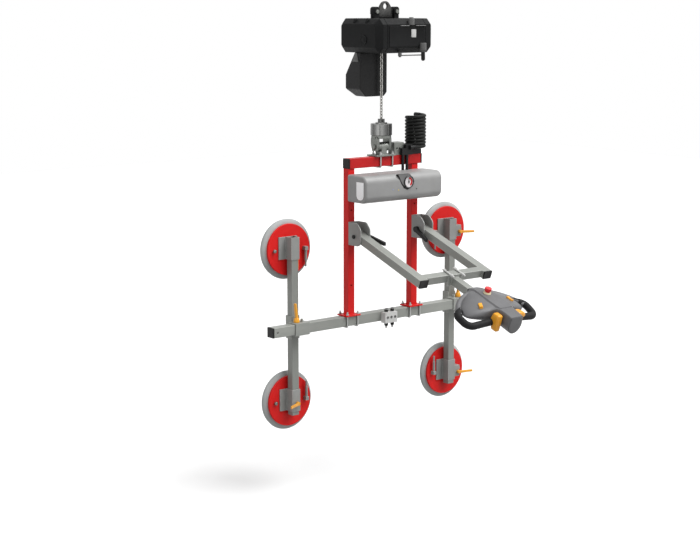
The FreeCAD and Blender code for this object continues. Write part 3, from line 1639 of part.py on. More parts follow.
def make_all():
    make_hoist_housing()
    make_hoist_covers()
    make_hoist_motor()
    make_load_wheel()
    make_suspension_eye()
    make_suspension_bolts()
    make_chain_container()
    make_load_chain()
    make_swivel_housing()
    make_yoke()
    make_yoke_bolt()
    make_hanger_bracket()
    make_clamps()
    make_coil_holder()
    make_spiral_cable()
    make_cable_plug()
    make_top_bar()
    make_upright("left_upright", -1)
    make_upright("right_upright", 1)
    make_end_caps()
    make_cross_beam()
    make_manifold()
    make_unit_cover()
    make_unit_back_plate()
    make_vacuum_pump()
    make_gauge_case()
    make_gauge_needle()
    make_pivot_brackets()
    make_arm_frame()
    make_arm_lever("left_arm_lever", "bracket_left_x", 1, "left_lever_reach", "left_lever_drop")
    make_arm_lever("right_arm_lever", "bracket_right_x", -1, "right_lever_reach", "right_lever_drop")
    make_sliders()
    make_controls()
    doc.recompute()


def check_all():
    for item in doc.Objects:
        if "Invalid" in item.State or "Error" in item.State:
            raise RuntimeError(f"{item.Label} is not built: {item.State}")
    for feature in cuts:
        if feature.Shape.Volume >= feature.BaseFeature.Shape.Volume:
            raise RuntimeError(f"{feature.Label} removes nothing")
    for piece in pieces:
        if piece.Shape.isNull() or not piece.Shape.isValid() or piece.Shape.Volume <= 0:
            raise RuntimeError(f"{piece.Label} has no valid shape")


fill_sheet()
make_all()
check_all()
os.makedirs("parts", exist_ok=True)
for piece in pieces:
    piece.Shape.exportStep(f"parts/{piece.Label}.step")
print(f"{len(pieces)} pieces written")
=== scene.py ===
import math

import bpy
from mathutils import Matrix, Vector


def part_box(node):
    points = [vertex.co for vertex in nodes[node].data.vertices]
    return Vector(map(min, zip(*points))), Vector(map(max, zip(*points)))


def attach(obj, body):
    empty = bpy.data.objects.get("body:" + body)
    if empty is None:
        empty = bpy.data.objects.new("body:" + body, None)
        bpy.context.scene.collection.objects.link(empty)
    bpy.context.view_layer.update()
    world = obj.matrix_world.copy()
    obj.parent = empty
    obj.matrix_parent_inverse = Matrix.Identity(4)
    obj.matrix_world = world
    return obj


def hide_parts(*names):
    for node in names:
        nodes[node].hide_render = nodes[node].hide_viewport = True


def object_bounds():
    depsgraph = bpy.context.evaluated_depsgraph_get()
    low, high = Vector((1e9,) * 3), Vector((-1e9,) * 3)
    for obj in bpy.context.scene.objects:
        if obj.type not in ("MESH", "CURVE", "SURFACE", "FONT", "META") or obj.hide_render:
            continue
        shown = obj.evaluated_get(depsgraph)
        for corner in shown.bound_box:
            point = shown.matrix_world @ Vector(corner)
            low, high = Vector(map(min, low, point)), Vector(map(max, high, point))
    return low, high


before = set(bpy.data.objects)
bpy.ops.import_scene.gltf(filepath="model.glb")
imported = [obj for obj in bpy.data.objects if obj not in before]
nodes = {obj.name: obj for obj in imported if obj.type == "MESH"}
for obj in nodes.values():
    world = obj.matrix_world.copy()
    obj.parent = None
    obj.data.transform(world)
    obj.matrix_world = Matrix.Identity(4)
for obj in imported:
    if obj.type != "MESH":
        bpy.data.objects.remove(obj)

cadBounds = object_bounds()
millimetre = 0.001
beamLow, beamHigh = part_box("cross_beam")
beamMiddle = (Vector(beamLow) + Vector(beamHigh)) / 2
toFront, toLeft = Vector((0, -1, 0)), Vector((-1, 0, 0))
toTop, toFloor = Vector((0, 0, 1)), Vector((0, 0, -1))


def spot(x, y, z):  # millimetres seen from the middle of the cross beam
    return beamMiddle + Vector((x, y, z)) * millimetre


def near(first, second):  # metres that mean one and the same place
    return abs(first - second) < 1e-5


def clear():  # leaves edit mode, nothing selected
    if bpy.context.object and bpy.context.object.mode != "OBJECT":
        bpy.ops.object.mode_set(mode="OBJECT")
    bpy.ops.object.select_all(action="DESELECT")


def choose(piece):
    clear()
    piece.select_set(True)
    bpy.context.view_layer.objects.active = piece


def settle(piece):  # place and turn go into the mesh
    choose(piece)
    bpy.ops.object.transform_apply(location=True, rotation=True, scale=True)


def remove(piece):
    choose(piece)
    bpy.ops.object.delete()


def pick(piece, kind, test):  # selects vertices, edges or faces by place and direction, in edit mode
    choose(piece)
    bpy.ops.object.mode_set(mode="EDIT")
    bpy.context.tool_settings.mesh_select_mode = (kind == "vert", kind == "edge", kind == "face")
    bpy.ops.mesh.select_all(action="DESELECT")
    bpy.ops.object.mode_set(mode="OBJECT")
    mesh = piece.data
    if kind == "vert":
        for vert in mesh.vertices:
            vert.select = test(vert.co, vert.normal)
    elif kind == "edge":
        for edge in mesh.edges:
            first, last = (mesh.vertices[index].co for index in edge.vertices)
            edge.select = test((first + last) / 2, (last - first).normalized())
    else:
        for face in mesh.polygons:
            face.select = test(face.center, face.normal)
    bpy.ops.object.mode_set(mode="EDIT")


# tests for pick
def everything(place, way):
    return True


def facing(side):
    return lambda place, way: way.dot(side) > 0.9


def running(axis):
    return lambda place, way: abs(getattr(way, axis)) > 0.9


# steps in edit mode on what is picked, widths in millimetres
def extrude(way):
    bpy.ops.mesh.extrude_region_move(TRANSFORM_OT_translate={"value": way})


def move(way):
    bpy.ops.transform.translate(value=way)


def resize(share, centre):
    bpy.ops.transform.resize(value=share, center_override=centre)


def inset(width):
    bpy.ops.mesh.inset(thickness=width * millimetre)


def bevel(width, segments):
    bpy.ops.mesh.bevel(offset=width * millimetre, segments=segments)


def faceOut():  # all normals outwards
    bpy.ops.mesh.select_all(action="SELECT")
    bpy.ops.mesh.normals_make_consistent(inside=False)


def sink(piece, side, rim, deep):  # a field inside one face, pushed in or out
    pick(piece, "face", facing(side))
    inset(rim)
    move(side * -deep * millimetre)


def taper(piece, side, share, centre):
    pick(piece, "face", facing(side))
    resize(share, centre)


# starting shapes
def block(name, low, high):  # a box between two corners
    clear()
    low, high = Vector(low), Vector(high)
    bpy.ops.mesh.primitive_cube_add(size=1, location=(low + high) / 2)
    piece = bpy.context.object
    piece.name = name
    piece.scale = high - low
    settle(piece)
    return piece


def rod(name, start, end, radius, sides=40):  # a round bar between two points
    clear()
    way = end - start
    turn = way.to_track_quat("Z", "Y").to_euler()
    bpy.ops.mesh.primitive_cylinder_add(
        vertices=sides, radius=radius * millimetre, depth=way.length, location=(start + end) / 2, rotation=turn)
    piece = bpy.context.object
    piece.name = name
    settle(piece)
    return piece


def disc(name, sides, radius, turn, place):  # an upright filled circle, picked
    clear()
    bpy.ops.mesh.primitive_circle_add(
        vertices=sides, radius=radius, fill_type="NGON", rotation=(math.pi / 2, 0, turn), location=place)
    piece = bpy.context.object
    piece.name = name
    settle(piece)
    pick(piece, "face", everything)
    return piece


def applyModifier(piece, kind, **values):
    choose(piece)
    bpy.ops.object.modifier_add(type=kind)
    modifier = piece.modifiers[-1]
    for name, value in values.items():
        setattr(modifier, name, value)
    bpy.ops.object.modifier_apply(modifier=modifier.name)


def roundEdges(piece, width, segments=3, angle=35):
    applyModifier(piece, "BEVEL", width=width * millimetre, segments=segments,
                  limit_method="ANGLE", angle_limit=math.radians(angle))


def fuse(name, parts):  # several meshes become one piece
    choose(parts[0])
    for part in parts[1:]:
        part.select_set(True)
    bpy.ops.object.join()
    piece = bpy.context.object
    piece.name = name
    return piece


def repeat(piece, x, y=0, z=0):  # a copy with its own mesh, some millimetres away
    choose(piece)
    bpy.ops.object.duplicate()
    copy = bpy.context.object
    copy.location = Vector((x, y, z)) * millimetre
    settle(copy)
    return copy


def done(piece, finishName, body, angle=35):
    choose(piece)
    bpy.ops.object.shade_smooth_by_angle(angle=math.radians(angle))
    piece.data.materials.clear()
    piece.data.materials.append(finishes[finishName])
    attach(piece, body)


def radians(angles):
    return [math.radians(angle) for angle in angles]


# camera at the photo's place
viewSettings = {"place": (-5.0035, -5.9854, 0.0399), "turn": (80.16, 0, -38.63), "lens": 79.9, "film": 36, "far": 60}


def setCamera():
    own = viewSettings
    clear()
    bpy.ops.object.camera_add(location=own["place"], rotation=radians(own["turn"]))
    camera = bpy.context.object
    camera.data.lens = own["lens"]
    camera.data.sensor_fit = "HORIZONTAL"
    camera.data.sensor_width = own["film"]
    camera.data.clip_end = own["far"]
    bpy.context.scene.camera = camera


setCamera()
print("camera set")


def addNode(tree, kind, links={}, values={}, **traits):  # links and values by socket
    node = tree.nodes.new(kind)
    for name, value in traits.items():
        setattr(node, name, value)
    for socket, value in values.items():
        node.inputs[socket].default_value = value
    for socket, output in links.items():
        tree.links.new(output, node.inputs[socket])
    return node


def newFinish(name):
    finish = bpy.data.materials.new(name)
    finish.use_nodes = True
    tree = finish.node_tree
    place = addNode(tree, "ShaderNodeTexCoord").outputs["Object"]
    return finish, tree, tree.nodes["Principled BSDF"], place


def grain(tree, place, scale, detail, stretch=None):
    if stretch:
        place = addNode(tree, "ShaderNodeMapping", {"Vector": place}, {"Scale": stretch}).outputs["Vector"]
    noise = addNode(tree, "ShaderNodeTexNoise", {"Vector": place}, {"Scale": scale, "Detail": detail})
    return noise.outputs["Fac"]


def blendColours(tree, factor, stops, target=None):  # colour ramp, stops as (position, colour)
    ramp = addNode(tree, "ShaderNodeValToRGB", {"Fac": factor})
    while len(ramp.color_ramp.elements) < len(stops):
        ramp.color_ramp.elements.new(0.5)
    for element, (position, colour) in zip(ramp.color_ramp.elements, stops):
        element.position = position
        element.color = (*colour, 1)
    if target is not None:
        tree.links.new(ramp.outputs["Color"], target)
    return ramp.outputs["Color"]


def spread(tree, factor, low, high, target=None):  # grain becomes a range of values
    reach = addNode(tree, "ShaderNodeMapRange", {"Value": factor},
                    {"From Min": 0.25, "From Max": 0.75, "To Min": low, "To Max": high})
    if target is not None:
        tree.links.new(reach.outputs["Result"], target)
    return reach.outputs["Result"]


def relief(tree, shader, heights, strength, depth):  # depth in millimetres
    links = {}
    for height in heights:
        links["Height"] = height
        bump = addNode(tree, "ShaderNodeBump", links, {"Strength": strength, "Distance": depth * millimetre})
        links["Normal"] = bump.outputs["Normal"]
    tree.links.new(links["Normal"], shader.inputs["Normal"])


def wearAndHighlightEdges(tree, radius):  # 1 along outer edges, 0 on flat faces
    rounded = addNode(tree, "ShaderNodeBevel", {}, {"Radius": radius * millimetre}, samples=6)
    flat = addNode(tree, "ShaderNodeNewGeometry")
    dot = addNode(tree, "ShaderNodeVectorMath", {0: rounded.outputs["Normal"], 1: flat.outputs["Normal"]},
                  operation="DOT_PRODUCT")
    edge = addNode(tree, "ShaderNodeMapRange", {"Value": dot.outputs["Value"]},
                   {"From Min": 0.995, "From Max": 0.90})
    return edge.outputs["Result"]


def lighten(tree, colour, amount, target, tint):  # edges lightened over a base colour: wear, and on the arm tubes a painted highlight
    mix = addNode(tree, "ShaderNodeMix", {"Factor": amount, "A": colour}, {"B": (*tint, 1)}, data_type="RGBA")
    tree.links.new(mix.outputs["Result"], target)


def times(tree, first, second):
    return addNode(tree, "ShaderNodeMath", {0: first, 1: second}, operation="MULTIPLY").outputs["Value"]


# painted, coated and moulded surfaces: dark and light colour, roughness, shine, grain and its depth in millimetres,
# colour of worn edges and how much they show
coats = {
    "hoistBlack": ((0.0062, 0.0065, 0.0067), (0.0105, 0.0107, 0.011), (0.42, 0.55), 0.08, 900, 0.12,
                   (0.1, 0.1, 0.1), 0.22),
    "blackPlastic": ((0.006, 0.006, 0.0063), (0.011, 0.011, 0.0113), (0.36, 0.5), 0.16, 1400, 0.08,
                     (0.06, 0.06, 0.06), 0.18),
    "redPaint": ((0.55, 0.009, 0.009), (0.64, 0.013, 0.012), (0.32, 0.42), 0.16, 420, 0.06, (0.76, 0.12, 0.1), 0.35),
    "unitGrey": ((0.215, 0.215, 0.214), (0.258, 0.258, 0.256), (0.38, 0.48), 0.4, 700, 0.07,
                 (0.52, 0.52, 0.51), 0.25),
    "controlGrey": ((0.088, 0.088, 0.091), (0.118, 0.118, 0.122), (0.4, 0.52), 0.38, 1100, 0.08,
                    (0.2, 0.2, 0.21), 0.3),
    "orangePlastic": ((0.64, 0.265, 0.012), (0.78, 0.36, 0.022), (0.32, 0.44), 0.42, 1000, 0.07,
                      (0.86, 0.5, 0.16), 0.3),
    "gripRubber": ((0.009, 0.009, 0.0093), (0.016, 0.016, 0.0164), (0.5, 0.64), 0.1, 1600, 0.14,
                   (0.05, 0.05, 0.05), 0.25),
    "buttonRed": ((0.6, 0.014, 0.018), (0.7, 0.022, 0.026), (0.24, 0.34), 0.5, 900, 0.04, (0.78, 0.14, 0.13), 0.25),
    "creamCollar": ((0.66, 0.58, 0.36), (0.76, 0.69, 0.46), (0.36, 0.46), 0.4, 900, 0.05, (0.84, 0.8, 0.62), 0.25),
    "sealRubber": ((0.3, 0.31, 0.31), (0.38, 0.39, 0.385), (0.58, 0.74), 0.3, 1300, 0.12, (0.46, 0.47, 0.47), 0.25),
    "dialWhite": ((0.6, 0.57, 0.58), (0.68, 0.65, 0.66), (0.35, 0.45), 0.3, 1500, 0.02, (0.78, 0.76, 0.76), 0.1),
    "labelWhite": ((0.9, 0.9, 0.91), (0.95, 0.95, 0.96), (0.34, 0.46), 0.4, 1200, 0.02, (0.97, 0.97, 0.97), 0.15),
    "yellowLamp": ((0.75, 0.55, 0.03), (0.85, 0.66, 0.06), (0.18, 0.26), 0.5, 1500, 0.02, (0.9, 0.8, 0.3), 0.1),
    "blueLamp": ((0.2, 0.26, 0.55), (0.28, 0.34, 0.62), (0.18, 0.26), 0.5, 1500, 0.02, (0.5, 0.55, 0.75), 0.1),
    "glandGrey": ((0.085, 0.085, 0.084), (0.125, 0.125, 0.123), (0.36, 0.48), 0.3, 1200, 0.06,
                  (0.16, 0.16, 0.16), 0.3),
    "edgeGrey": ((0.1, 0.1, 0.1), (0.16, 0.16, 0.16), (0.3, 0.42), 0.5, 900, 0.06, (0.3, 0.3, 0.3), 0.3),
    "plateSilver": ((0.42, 0.42, 0.41), (0.52, 0.52, 0.51), (0.3, 0.42), 0.5, 900, 0.04, (0.6, 0.6, 0.6), 0.2),
    "bracketGrey": ((0.205, 0.208, 0.2), (0.255, 0.258, 0.25), (0.34, 0.46), 0.45, 500, 0.06,
                    (0.78, 0.78, 0.76), 1),
    # the frame's red paint made darker for the top bar: painted shade
    "barRedPaintedShade": ((0.4, 0.009, 0.01), (0.47, 0.013, 0.014), (0.32, 0.42), 0.16, 420, 0.06, (0.7, 0.12, 0.1), 0.35),
    "portGrey": ((0.46, 0.46, 0.45), (0.56, 0.56, 0.55), (0.34, 0.46), 0.4, 700, 0.05, (0.8, 0.8, 0.78), 0.6),
    "needleRed": ((0.44, 0.01, 0.01), (0.52, 0.016, 0.016), (0.4, 0.5), 0.4, 2500, 0.02, (0.6, 0.1, 0.1), 0.1),
}
coatSettings = {"patches": 9, "wearGrain": 160, "roughGrain": 60, "waves": 45, "edge": 2.2, "relief": 0.35}


def coat(name):
    own = coatSettings
    dark, light, rough, shine, size, depth, wearAndHighlightTint, wear = coats[name]
    finish, tree, shader, place = newFinish(name)
    base = blendColours(tree, grain(tree, place, own["patches"], 5), [(0.30, dark), (0.70, light)])
    share = spread(tree, grain(tree, place, own["wearGrain"], 4), 0, wear)
    lighten(tree, base, times(tree, wearAndHighlightEdges(tree, own["edge"]), share), shader.inputs["Base Color"], wearAndHighlightTint)
    spread(tree, grain(tree, place, own["roughGrain"], 4), *rough, shader.inputs["Roughness"])
    shader.inputs["Specular IOR Level"].default_value = shine
    relief(tree, shader, [grain(tree, place, size, 2), grain(tree, place, own["waves"], 2)], own["relief"], depth)
    return finish


# bare and plated metals: dark and light colour, roughness, stretch of the streaks, their grain and depth
metals = {
    "brightSteel": ((0.2, 0.203, 0.2), (0.44, 0.443, 0.435), (0.24, 0.38), (1, 1, 40), 55, 0.06),
    "chainSteel": ((0.06, 0.058, 0.053), (0.62, 0.61, 0.58), (0.2, 0.36), (1, 1, 1), 260, 0.08),
    "zincSteel": ((0.1, 0.107, 0.098), (0.215, 0.222, 0.208), (0.34, 0.5), (1, 1, 1), 120, 0.06),
    "eyeSteel": ((0.018, 0.018, 0.018), (0.085, 0.085, 0.083), (0.28, 0.44), (1, 1, 3), 120, 0.08),
    "castIron": ((0.01, 0.01, 0.0105), (0.026, 0.026, 0.027), (0.42, 0.6), (1, 1, 1), 500, 0.22),
    "gaugeMetal": ((0.045, 0.045, 0.047), (0.095, 0.095, 0.098), (0.2, 0.3), (1, 40, 1), 70, 0.03),
}
metalSettings = {"patches": 14, "fine": 700, "metallic": 0.85, "relief": 0.25}


def metal(name):
    own = metalSettings
    dark, light, rough, stretch, size, depth = metals[name]
    finish, tree, shader, place = newFinish(name)
    streaks = grain(tree, place, size, 4, stretch)
    patches = grain(tree, place, own["patches"], 4)
    tone = times(tree, spread(tree, streaks, 0.55, 1), spread(tree, patches, 0.75, 1))
    blendColours(tree, tone, [(0.40, dark), (0.95, light)], shader.inputs["Base Color"])
    spread(tree, streaks, *rough, shader.inputs["Roughness"])
    shader.inputs["Metallic"].default_value = own["metallic"]
    relief(tree, shader, [streaks, grain(tree, place, own["fine"], 2)], own["relief"], depth)
    return finish


# drawn tubes, satin grey with lengthwise marks: stretch of the marks, width and share of the lightened edges (wear, and
# on the arms a painted highlight line), painted shade of each copy of the same grey
tubes = {"beamSteel": ((0.04, 1, 1), 2.6, 0.35, 1), "columnSteel": ((1, 1, 0.04), 2.6, 0.35, 0.84),
         "armSteel": ((1, 0.05, 0.6), 5, 0.9, 0.95)}
tubeSettings = {"dark": (0.222, 0.230, 0.214), "light": (0.278, 0.286, 0.266), "wearAndHighlightTint": (0.46, 0.47, 0.45),
                "marks": 60, "patches": 7, "fine": 800, "rough": (0.36, 0.50), "metallic": 0.15, "shine": 0.3,
                "relief": 0.25, "depth": 0.05}


def tubeFinish(name):
    own = tubeSettings
    stretch, edgeWide, edgeShare, paintedShade = tubes[name]
    finish, tree, shader, place = newFinish(name)
    marks = grain(tree, place, own["marks"], 5, stretch)
    patches = grain(tree, place, own["patches"], 5)
    tone = times(tree, spread(tree, marks, 0.75, 1), spread(tree, patches, 0.7, 1))
    # painted shade: the same grey scaled darker for the columns and arms
    dark, light = ([level * paintedShade for level in own[end]] for end in ("dark", "light"))
    base = blendColours(tree, tone, [(0.50, dark), (0.98, light)])
    # lightened edges: wear, and on the arms a painted highlight line along every edge
    edge = addNode(tree, "ShaderNodeMath", {0: wearAndHighlightEdges(tree, edgeWide)}, {1: edgeShare}, operation="MULTIPLY")
    lighten(tree, base, edge.outputs["Value"], shader.inputs["Base Color"], own["wearAndHighlightTint"])
    spread(tree, marks, *own["rough"], shader.inputs["Roughness"])
    shader.inputs["Metallic"].default_value = own["metallic"]
    shader.inputs["Specular IOR Level"].default_value = own["shine"]
    relief(tree, shader, [marks, grain(tree, place, own["fine"], 2)], own["relief"], own["depth"])
    return finish


# spiral cable: its jacket, and its path from the gland up through the turns to the plug at the back
cableSettings = {"dark": (0.0055, 0.006, 0.0055), "light": (0.010, 0.0105, 0.010), "rough": (0.46, 0.58),
                 "patches": 30, "roughGrain": 200, "shine": 0.12, "fine": 1500, "relief": 0.3, "depth": 0.08,
                 "size": 16.8, "axisX": 227, "radius": 46.5, "low": 852, "pitch": 17, "quarters": 37,
                 "pointsPerTurn": 24, "footX": 172, "tail": 20, "length": 2.781}


def cableFinish():
    own = cableSettings
    finish, tree, shader, place = newFinish("cableBlack")
    patches = grain(tree, place, own["patches"], 4)
    blendColours(tree, patches, [(0.3, own["dark"]), (0.7, own["light"])], shader.inputs["Base Color"])
    spread(tree, grain(tree, place, own["roughGrain"], 3), *own["rough"], shader.inputs["Roughness"])
    shader.inputs["Specular IOR Level"].default_value = own["shine"]
    relief(tree, shader, [grain(tree, place, own["fine"], 2)], own["relief"], own["depth"])
    return finish


# turned steel with painted reflections: light and dark bands round the axis, set by which way the surface faces, and
# fine lathe marks across it
turnedSettings = {"paintedReflectionBands": [(0.00, 0.10), (0.08, 0.20), (0.15, 0.28), (0.21, 0.09), (0.28, 0.02), (0.36, 0.06),
                            (0.45, 0.30), (0.55, 0.08), (0.66, 0.03), (0.78, 0.22), (0.90, 0.34), (0.95, 0.22),
                            (1.00, 0.10)], "tint": (1, 1.01, 0.985), "marks": 900, "stretch": (0.02, 0.02, 1),
                  "rough": (0.22, 0.36), "metallic": 0.85, "relief": 0.2, "depth": 0.04}


def turnedFinish():
    own = turnedSettings
    finish, tree, shader, place = newFinish("turnedSteelPaintedReflections")
    split = addNode(tree, "ShaderNodeSeparateXYZ", {"Vector": tree.nodes["Texture Coordinate"].outputs["Normal"]})
    # painted reflections: the colour follows which way the surface faces round the axis
    angle = addNode(tree, "ShaderNodeMath", {0: split.outputs["Y"], 1: split.outputs["X"]}, operation="ARCTAN2")
    turn = addNode(tree, "ShaderNodeMapRange", {"Value": angle.outputs["Value"]},
                   {"From Min": -math.pi, "From Max": math.pi})
    paintedReflectionBands = [(stop, [grey * part for part in own["tint"]]) for stop, grey in own["paintedReflectionBands"]]
    blendColours(tree, turn.outputs["Result"], paintedReflectionBands, shader.inputs["Base Color"])
    marks = grain(tree, place, own["marks"], 3, own["stretch"])
    spread(tree, marks, *own["rough"], shader.inputs["Roughness"])
    shader.inputs["Metallic"].default_value = own["metallic"]
    relief(tree, shader, [marks], own["relief"], own["depth"])
    return finish


finishes = {name: coat(name) for name in coats}
finishes.update({name: metal(name) for name in metals})
finishes.update({name: tubeFinish(name) for name in tubes})
finishes["cableBlack"] = cableFinish()
finishes["turnedSteelPaintedReflections"] = turnedFinish()
print("finishes made:", len(finishes))


def makeSpiralCable():
    own = cableSettings
    points = [spot(own["footX"], -own["radius"], own["low"])]
    points.append(spot((own["footX"] + own["axisX"]) / 2, -own["radius"], own["low"]))
    steps = own["quarters"] * own["pointsPerTurn"] // 4
    for step in range(steps + 1):
        angle = 2 * math.pi * step / own["pointsPerTurn"] - math.pi / 2
        height = own["low"] + own["pitch"] * step / own["pointsPerTurn"]
        x = own["axisX"] + own["radius"] * math.cos(angle)
        points.append(spot(x, own["radius"] * math.sin(angle), height))
    points.append(points[-1] - toFront * own["tail"] * millimetre)
    line = bpy.data.curves.new("spiralCable", "CURVE")
    line.dimensions = "3D"
    line.bevel_depth = own["size"] / 2 * millimetre
    line.bevel_resolution = 6
    line.resolution_u = 4
    line.use_fill_caps = True
    spline = line.splines.new("NURBS")
    spline.points.add(len(points) - 1)
    for point, place in zip(spline.points, points):
        point.co = (*place, 1)
    spline.order_u = 3
    spline.use_endpoint_u = True
    cable = bpy.data.objects.new("spiralCable", line)
    bpy.context.scene.collection.objects.link(cable)
    line.materials.append(finishes["cableBlack"])
    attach(cable, "frame")
    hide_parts("spiral_cable")
    return cable, points[0]


bootSettings = {"long": 24, "ribs": 4, "root": 11.5, "tip": 9.4, "ribHalf": 1.4, "ribProud": 1.2, "round": 0.6}


def makeCableBoot(foot):  # tapered boot with ribs round the cable's foot
    own = bootSettings
    tip = foot - toLeft * own["long"] * millimetre
    boot = rod("cableBoot", foot, tip, own["root"])
    pick(boot, "vert", lambda place, way: near(place.x, tip.x))
    share = own["tip"] / own["root"]
    resize((1, share, share), tip)
    parts = [boot]
    half = toLeft * own["ribHalf"] * millimetre
    for rib in range(own["ribs"]):
        share = (rib + 0.5) / own["ribs"]
        middle = foot.lerp(tip, share)
        reach = own["root"] + (own["tip"] - own["root"]) * share + own["ribProud"]
        parts.append(rod("rib", middle + half, middle - half, reach))
    boot = fuse("cableBoot", parts)
    roundEdges(boot, own["round"], 2)
    done(boot, "blackPlastic", "frame")


cable, cableFoot = makeSpiralCable()
makeCableBoot(cableFoot)
print("spiral cable wound")


# finish of each solid, with the width of its rounded edges in millimetres
solidFinishes = {
    "hoistBlack": {"hoist_housing": 2.5, "hoist_end_covers": 3},
    "castIron": {"hoist_motor": 1, "vacuum_pump": 2},
    "zincSteel": {"suspension_bolts": 1, "yoke": 2, "yoke_bolt": 1.2, "hanger_bracket": 1.5},
    "brightSteel": {"load_wheel": 0.8, "clamp_u_bolts": 0.4},
    "chainSteel": {"load_chain": 0},
    # the swivel housing's turned steel carries painted reflections
    "turnedSteelPaintedReflections": {"swivel_housing": 1.2},
    "blackPlastic": {"chain_container": 5, "coil_holder": 0, "cable_plug": 1.5, "tube_end_caps": 2.2,
                     "gauge_needle": 0.2, "{side}_arm_lever": 2.5},
    "barRedPaintedShade": {"top_bar": 2.5},
    "redPaint": {"{side}_upright": 2, "{level}_{side}_pad_plate": 1.5},
    "beamSteel": {"cross_beam": 2.5, "{side}_sleeve": 1.2},
    "columnSteel": {"{side}_column": 2},
    "armSteel": {"arm_frame": 2.2},
    "portGrey": {"manifold_block": 1},
    "gaugeMetal": {"gauge_case": 0.8},
    "bracketGrey": {"pivot_brackets": 1.2, "{level}_{side}_pad_holder": 1},
    "gripRubber": {"control_grips": 0},
    "buttonRed": {"estop_button": 2.5},
    "orangePlastic": {"{side}_slider_lever": 2.5, "{level}_{side}_pad_lever": 2.2},
    "sealRubber": {"{level}_{side}_pad_seal": 1.5},
}
dressSettings = {"weld": 0.01, "flat": 0.6, "angle": 32, "segments": 3}


def dressSolid(solid, finishName, width):
    own = dressSettings
    solid.data.materials.clear()
    solid.data.materials.append(finishes[finishName])
    if width == 0:
        return
    weld = solid.modifiers.new("weld", "WELD")
    weld.merge_threshold = own["weld"] * millimetre
    flat = solid.modifiers.new("flat", "DECIMATE")
    flat.decimate_type = "DISSOLVE"
    flat.angle_limit = math.radians(own["flat"])
    edges = solid.modifiers.new("edges", "BEVEL")
    edges.width = width * millimetre
    edges.segments = own["segments"]
    edges.limit_method = "ANGLE"
    edges.angle_limit = math.radians(own["angle"])
    edges.use_clamp_overlap = False
    edges.miter_outer = "MITER_ARC"
    solid.modifiers.new("shading", "WEIGHTED_NORMAL")


dressed = 0
for finishName, solids in solidFinishes.items():
    for pattern, width in solids.items():
        names = {pattern.format(side=side, level=level) for side in ("left", "right") for level in ("upper", "lower")}
        for name in sorted(names):
            dressSolid(nodes[name], finishName, width)
            dressed += 1
print("solids dressed:", dressed)


# the arms: their pivot, how far they hang down in degrees, and the middle of the control unit on them
armSettings = {"pivotY": -67, "pivotZ": 434, "tilt": 19.6}
armMatrix = (Matrix.Translation(spot(0, armSettings["pivotY"], armSettings["pivotZ"]))
             @ Matrix.Rotation(math.radians(armSettings["tilt"]), 4, "X"))
controlX = 12


def onArms(piece):  # a piece drawn along the arms (x, -run, rise) goes to its place
    piece.matrix_world = armMatrix
    settle(piece)


def along(x, run, rise):
    return Vector((x, -run, rise)) * millimetre


def droop(piece, angle):  # the wings at both sides hang a little
    piece.rotation_euler = (-math.pi / 2, 0, 0)
    settle(piece)
    applyModifier(piece, "SIMPLE_DEFORM", deform_method="BEND", deform_axis="Z", angle=-math.radians(angle))
    piece.rotation_euler = (math.pi / 2, 0, 0)
    piece.location = along(controlX, 0, 0)
    settle(piece)


# control unit: wide shell with a blunt nose, drawn through sections along the arms: run, half width, top, bottom
shellSettings = {"sides": 32, "sections": [(620, 25, 13, -33), (640, 38, 19, -34), (668, 76, 28, -32),
                                           (700, 124, 34, -29), (738, 166, 37, -25), (776, 187, 37, -23),
                                           (812, 184, 37, -25), (834, 152, 37, -33), (848, 112, 37, -42),
                                           (858, 62, 37, -50), (872, 48, 37, -54), (910, 46, 36, -57),
                                           (952, 44, 33, -58)],
                 "flatFrom": 850, "flatShare": 0.3, "crease": 0.75, "seam": 874, "seamWide": 1.6, "seamDeep": 1.4,
                 "frontReach": 4, "frontRim": 4, "frontProud": 2, "droop": 38}


def makeControlShell():
    own = shellSettings
    before = run, half, top, bottom = own["sections"][0]
    shell = disc("controlShell", own["sides"], 1, 0, (0, 0, 0))
    resize((half * millimetre, 1, (top - bottom) / 2 * millimetre), (0, 0, 0))
    move(along(0, run, (top + bottom) / 2))
    for section in own["sections"][1:]:
        run, half, top, bottom = section
        middle = (top + bottom) / 2
        extrude(along(0, run - before[0], middle - (before[2] + before[3]) / 2))
        resize((half / before[1], 1, (top - bottom) / (before[2] - before[3])), along(0, run, middle))
        before = section
    for run, half, top, bottom in own["sections"]:  # the nose is flat on top
        if run < own["flatFrom"]:
            continue
        level, line = top * millimetre, -run * millimetre
        pick(shell, "vert", lambda place, way: near(place.y, line) and place.z > level * own["flatShare"])
        resize((1, 1, 0), (0, 0, level))
    front = -own["sections"][-1][0] * millimetre
    pick(shell, "edge", lambda place, way: near(place.y, front))
    bpy.ops.transform.edge_crease(value=own["crease"])
    faceOut()
    applyModifier(shell, "SUBSURF", levels=2, render_levels=2)
    pick(shell, "face", everything)
    seam = along(0, own["seam"], 0)
    bpy.ops.mesh.bisect(plane_co=seam, plane_no=(0, 1, 0))
    bevel(own["seamWide"], 2)
    pick(shell, "vert", lambda place, way: near(place.y, seam.y))
    bpy.ops.transform.shrink_fatten(value=-own["seamDeep"] * millimetre)
    reach = own["frontReach"] * millimetre
    pick(shell, "face", lambda place, way: way.y < -0.9 and abs(place.y - front) < reach)
    inset(own["frontRim"])
    extrude(along(0, own["frontProud"], 0))
    droop(shell, own["droop"])
    onArms(shell)
    done(shell, "controlGrey", "arms", 40)
    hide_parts("control_shell")


# rounded rim along the back of the shell, from one grip to the other
rimSettings = {"centre": 888, "radius": 230, "tube": 14, "rise": 3, "from": 25, "sweep": 130, "steps": 44,
               "sides": 20, "droop": 27}


